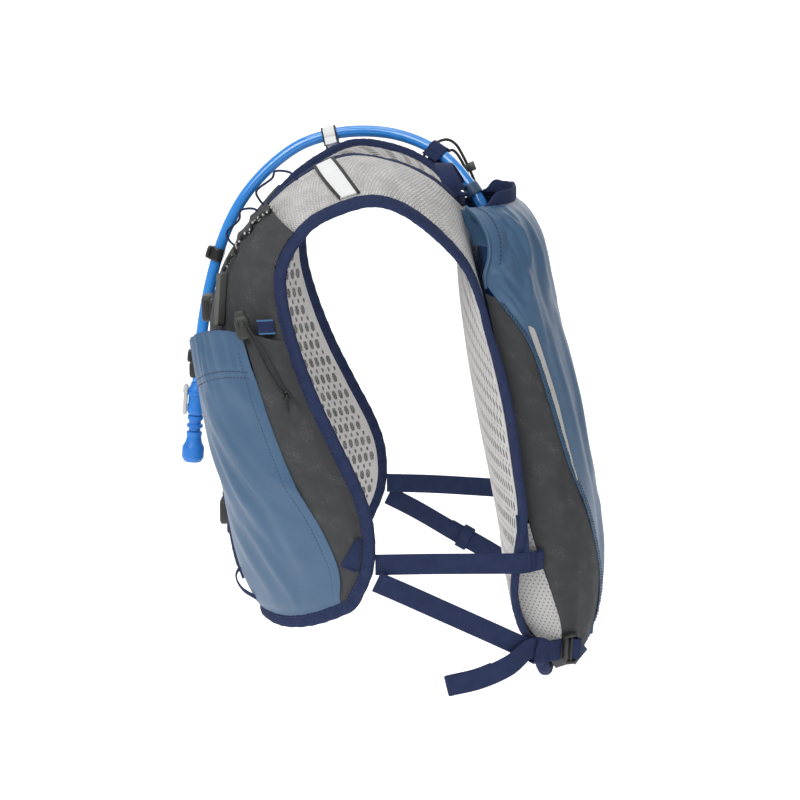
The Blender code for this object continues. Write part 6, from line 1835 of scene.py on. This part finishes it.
ELASTIC_RADIUS, LACE_RADIUS, LOOP_RADIUS, STRING_RADIUS = 0.0012, 0.0014, 0.0009, 0.00085


def place_on(surface, first, second, lift):
    """A point over a surface, with unit vectors sideways, onwards and outwards."""
    step = 0.02
    onward = unit(surface(first + step, second) - surface(first - step, second))
    sideways = surface(first, second + step) - surface(first, second - step)
    out = unit(np.cross(sideways, onward))
    return surface(first, second) + out * lift, np.cross(onward, out), onward, out


def route_over(surface, rows, radius):
    return np.array([place_on(surface, s, a, h + radius + SEAT)[0] for s, a, h in rows])


def make_band():
    share, across = np.meshgrid(np.linspace(0, 1, 30), np.linspace(0.03, 0.97, 60), indexing="ij")
    front, back = 10.45 + (10.18 - 10.45) * across, 10.78 + (10.68 - 10.78) * across
    grid = body_surface(front + (back - front) * share, across, FACE)
    shell("shoulder_strip", grid, 0.0013, "band_white", replaces=["shoulder_band_left"])
    beside, out, rim = unit(grid[-1] - grid[0]), grid_normals(grid), round_section(0.0026, 0.0024, 3.0, 12)
    edges = [swept(grid[k] + out[k] * 0.0010, rim, beside) for k in (0, -1)]
    finish_piece(mesh_piece("shoulder_strip_edges", *joined(edges)), "cord_black", "band_white")


def make_hang_loop():
    half_span, rise, lean = HANG_SHAPE
    neck = neck_edge(HANG_STATION)
    foot = neck[2] + 0.0042 + WEB / 2 + 0.0009
    turn = np.linspace(0, math.pi, 90)
    height = np.sin(turn) ** 0.75
    path = np.stack([half_span * np.cos(turn), neck[1] - lean * height, foot + rise * height], 1)
    strap("top_loop", path, AHEAD, round_section(0.014, WEB, 7.0, 36), replaces=["hang_loop"])
    for side, sign in (("right", -1), ("left", 1)):
        rounded(f"top_loop_foot_{side}", (0.009, 0.016, 0.0036), (sign * half_span, neck[1], foot - 0.0012), BESIDE,
                UP, "binding_navy", power=5.0)


def make_top_cords():
    for name, rows in TOP_CORDS.items():
        cord_curve(f"elastic_{name}", resampled(rows, 70), ELASTIC_RADIUS, "cord_black",
                                replaces=[f"top_cord_{name}"])
    axis, run = np.array(LOCK_AXIS), np.array(LOCK_RUN)
    turned("lock_barrel", softened(LOCK_PROFILE, 0.0005), LOCK_PLACE, run, axis, "pull_grey", slot="hard_grey",
           replaces=["cord_lock"])
    rounded("lock_body", (0.0062, 0.0088, 0.0058), LOCK_PLACE, run, axis, "hard_grey")
    for name, rows in TOP_CORDS.items():
        length_of(resampled(rows, 70))


def make_lash():
    sway = np.linspace(9.12, 7.46, 140)
    across = 0.485 + 0.022 * np.sin((9.1 - sway) / 0.27 * math.pi) - 0.03 * smoothstep(7.7 - sway, 0.0, 0.25)
    height = 0.0010 + 0.0008 * np.cos((9.1 - sway) / 0.135 * math.pi)
    points = upper_at(sway, across) + body_axes(sway, across)[2] * (height + 0.0021)[:, None]
    cord = cord_curve("speckled_lace", points, LACE_RADIUS, "cord_speckled", slot="cord_black",
                      replaces=["lash_cord"])
    place, _, onward, out = place_on(upper_at, *PULL_PLACE, PULL_SIZE[2] / 2 + 0.0005)
    width, length, thick = PULL_SIZE
    outline = rounded_outline(length, width, 0.0024, 8)
    outline[:, 1] *= 1 + 0.18 * np.cos(outline[:, 0] / length * 2 * math.pi)
    slab("pull_bar", outline, thick, place, onward, out, "pull_grey", 0.0005, slot="hard_grey",
         replaces=["pull_tab"])
    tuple(points[0])
    for name, rows in LASH_LOOPS.items():
        route = resampled(route_over(upper_at, rows, LOOP_RADIUS), 70)
        loop = cord_curve(f"side_loop_{name}", route, LOOP_RADIUS, "binding_navy", slot="webbing_navy",
                          replaces=[f"lash_loop_{name}"])


def make_drawcords():
    sx, sy, sz = TOGGLE_SIZE
    centre, _, onward, out = place_on(pocket_at, *TOGGLE_PLACE, SEAT + sz / 2)
    beside = np.cross(onward, out)
    base = resampled(route_over(pocket_at, DRAWCORD_ROUTE, 0.0013), 80)
    run = directions(base)
    sideways = unit(np.cross(run, out))
    part = np.linspace(0, 1, 80)[:, None]
    spread = 0.0010 + 0.0012 * np.sin(math.pi * part) ** 2
    knot = base[-14]
    tab = np.array([place_on(pocket_at, TOGGLE_PLACE[0], across, TAB_LIFT + WEB / 2)[0]
                    for across in np.linspace(*TAB_ACROSS, 40)])
    t = full_turn(120)
    # a trefoil: it winds twice round while it rises and falls three times
    coil = knot + (0.0019 * (2 + np.cos(3 * t)) * np.cos(2 * t) / 2)[:, None] * beside
    coil = coil + (0.0024 * (2 + np.cos(3 * t)) * np.sin(2 * t) / 2)[:, None] * onward
    coil = coil + (0.0013 * np.sin(3 * t) + 0.0004)[:, None] * out
    for side in SIDES:
        rounded(f"toggle_body_{side}", (sy, sx, sz), centre, onward, out, "hard_grey", power=4.5, side=side,
                replaces=[f"cord_toggle_{side}"])
        rounded(f"toggle_button_{side}", (0.0055, sx * 0.72, sz * 0.8), centre + onward * (sy / 2 + 0.0012), onward,
                out, "hard_grey", power=3.5, side=side)
        ring_sweep(f"toggle_eye_{side}", rounded_outline(0.0062, 0.0045, 0.002), round_section(0.0012, 0.0012, 2, 10),
                   centre + out * sz * 0.46 + onward * 0.002, onward, out, "hard_black", side=side)
        strap(f"toggle_tape_{side}", tab, onward, round_section(sx, WEB, 7.0, 28), replaces=[f"toggle_tab_{side}"],
              side=side)
        rim = round_section(0.0016, 0.0021, 2.5, 12)
        edges = [swept(tab + onward * sign * (sx / 2 - 0.0006), rim, onward) for sign in (-1, 1)]
        finish_piece(mesh_piece(f"toggle_tape_edges_{side}", *joined(edges), side=side), "edge_blue", "ripstop_blue")
        strands = []
        for number, sign in enumerate((-1, 1)):
            path = base + sideways * spread * sign + out * 0.0003 * (1 + sign * np.sin(9 * part))
            tail = np.clip((part - 0.82) / 0.18, 0, 1)
            path = (path + sideways * sign * tail * 0.0035) * [SIDES[side], 1.0, 1.0]
            cord = cord_curve(f"drawstring_{side}_{number + 1}", path, STRING_RADIUS, "cord_black",
                              replaces=[f"drawcord_{side}"] if number == 0 else ())
            strands.append((cord, path))
        sweep(f"knot_{side}", coil, round_section(0.0018, 0.0018, 2.0, 10), "cord_black", out, cyclic=True, side=side)
        for cord, path in strands:
            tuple(path[0])


def make_clip_pull():
    """The pull that hangs from the lower hose clip: a short doubled cord and a moulded bar."""
    cord = resampled(np.array(CLIP_PULL_TOP) + CLIP_PULL_DROPS, 40)
    sweep("clip_pull_cord", cord, round_section(0.0022, 0.0022, 2.0, 12), "cord_black", BESIDE)
    rounded("clip_pull", (0.0046, 0.0056, 0.0135), cord[-1] + [0.0, 0.0, -0.0060], BESIDE, UP, "hard_black")


def make_tape_ends():
    """Short folded ends of tape along the strap's inner edge, at the hem and at the hose."""
    for side in SIDES:
        for name, station, length in (("high", 6.75, 0.013), ("low", 2.55, 0.011)):
            (point,), (outward,) = edge_line(np.array([station]), 0.0, TAPE_OUTSIDE)
            onward = body_axes(np.array(station), np.array(0.0))[1]
            rounded(f"edge_fold_{name}_{side}", (length, 0.0120, 0.0062), point, onward, np.cross(onward, outward),
                    "binding_navy", power=5.0, side=side)
        place = sleeve_at(12.9, 0.05, 0.0022)
        rounded(f"hem_fold_{side}", (0.0032, 0.0070, 0.0095), place, sleeve_out(12.9, 0.05), UP, "tab_navy",
                slot="webbing_navy", power=5.0, side=side)
        # a folded corner of the tape over the gusset's foot
        up, part = np.meshgrid(np.linspace(0, 1, 16), np.linspace(0, 1, 8), indexing="ij")
        corner = 0.90 + 0.85 * up
        inner_edge = 0.985 - 0.085 * np.minimum(up / 0.25, (1 - up) / 0.75)
        lobe = pocket_at(corner, inner_edge + (0.995 - inner_edge) * part, 0.0016 - 0.0034 * part)
        shell(f"tape_corner_{side}", lobe, CLOTH_WALL, "binding_navy", side=side)
        # the thin loop at the front of the strap's foot
        foot = body_surface(np.array([1.05, 0.75, 0.45, 0.25]), np.array([0.05, 0.02, 0.03, 0.07]), 0.0045)
        front = foot + np.array([[0, 0, 0], [0, -0.0065, 0.0], [0, -0.0065, 0], [0, 0, 0]])
        route = resampled(front, 50)
        strap(f"foot_loop_{side}", route, np.cross(directions(route), [0.2, -1.0, 0.0]),
              round_section(0.0042, 0.0012, 5.0, 18), side=side)


make_band()
make_hang_loop()
make_top_cords()
make_lash()
make_drawcords()
make_clip_pull()
make_tape_ends()
print("small pieces made")

# %% [markdown]
# ## Floor and backdrop
#
# One pale sheet: a floor that curves up into a wall behind the vest. It belongs to the stage and not to the object.

# %%
def make_backdrop():
    near, far, wall, bend = -3.0, 2.2, 3.0, 1.2
    t = np.linspace(0, 0.5 * math.pi, 24)
    curve = np.stack([far - bend + bend * np.sin(t), bend - bend * np.cos(t)], 1)
    profile = np.vstack([[near, 0.0], curve, [far, wall]])
    back = look_from(AZIMUTH, 0.0)
    away, side = np.array([-back.x, -back.y, 0.0]), np.array([back.y, -back.x, 0.0])
    width = np.linspace(-4.0, 4.0, 9)
    grid = profile[:, None, :1] * away + UP * (profile[:, None, 1:] + FLOOR_HEIGHT) + width[None, :, None] * side
    verts = grid.reshape(-1, 3)
    floor = mesh_piece("backdrop", verts, [grid_quads(len(profile), 9)])
    floor.data.materials.append(MATERIAL["studio_floor"])


make_backdrop()
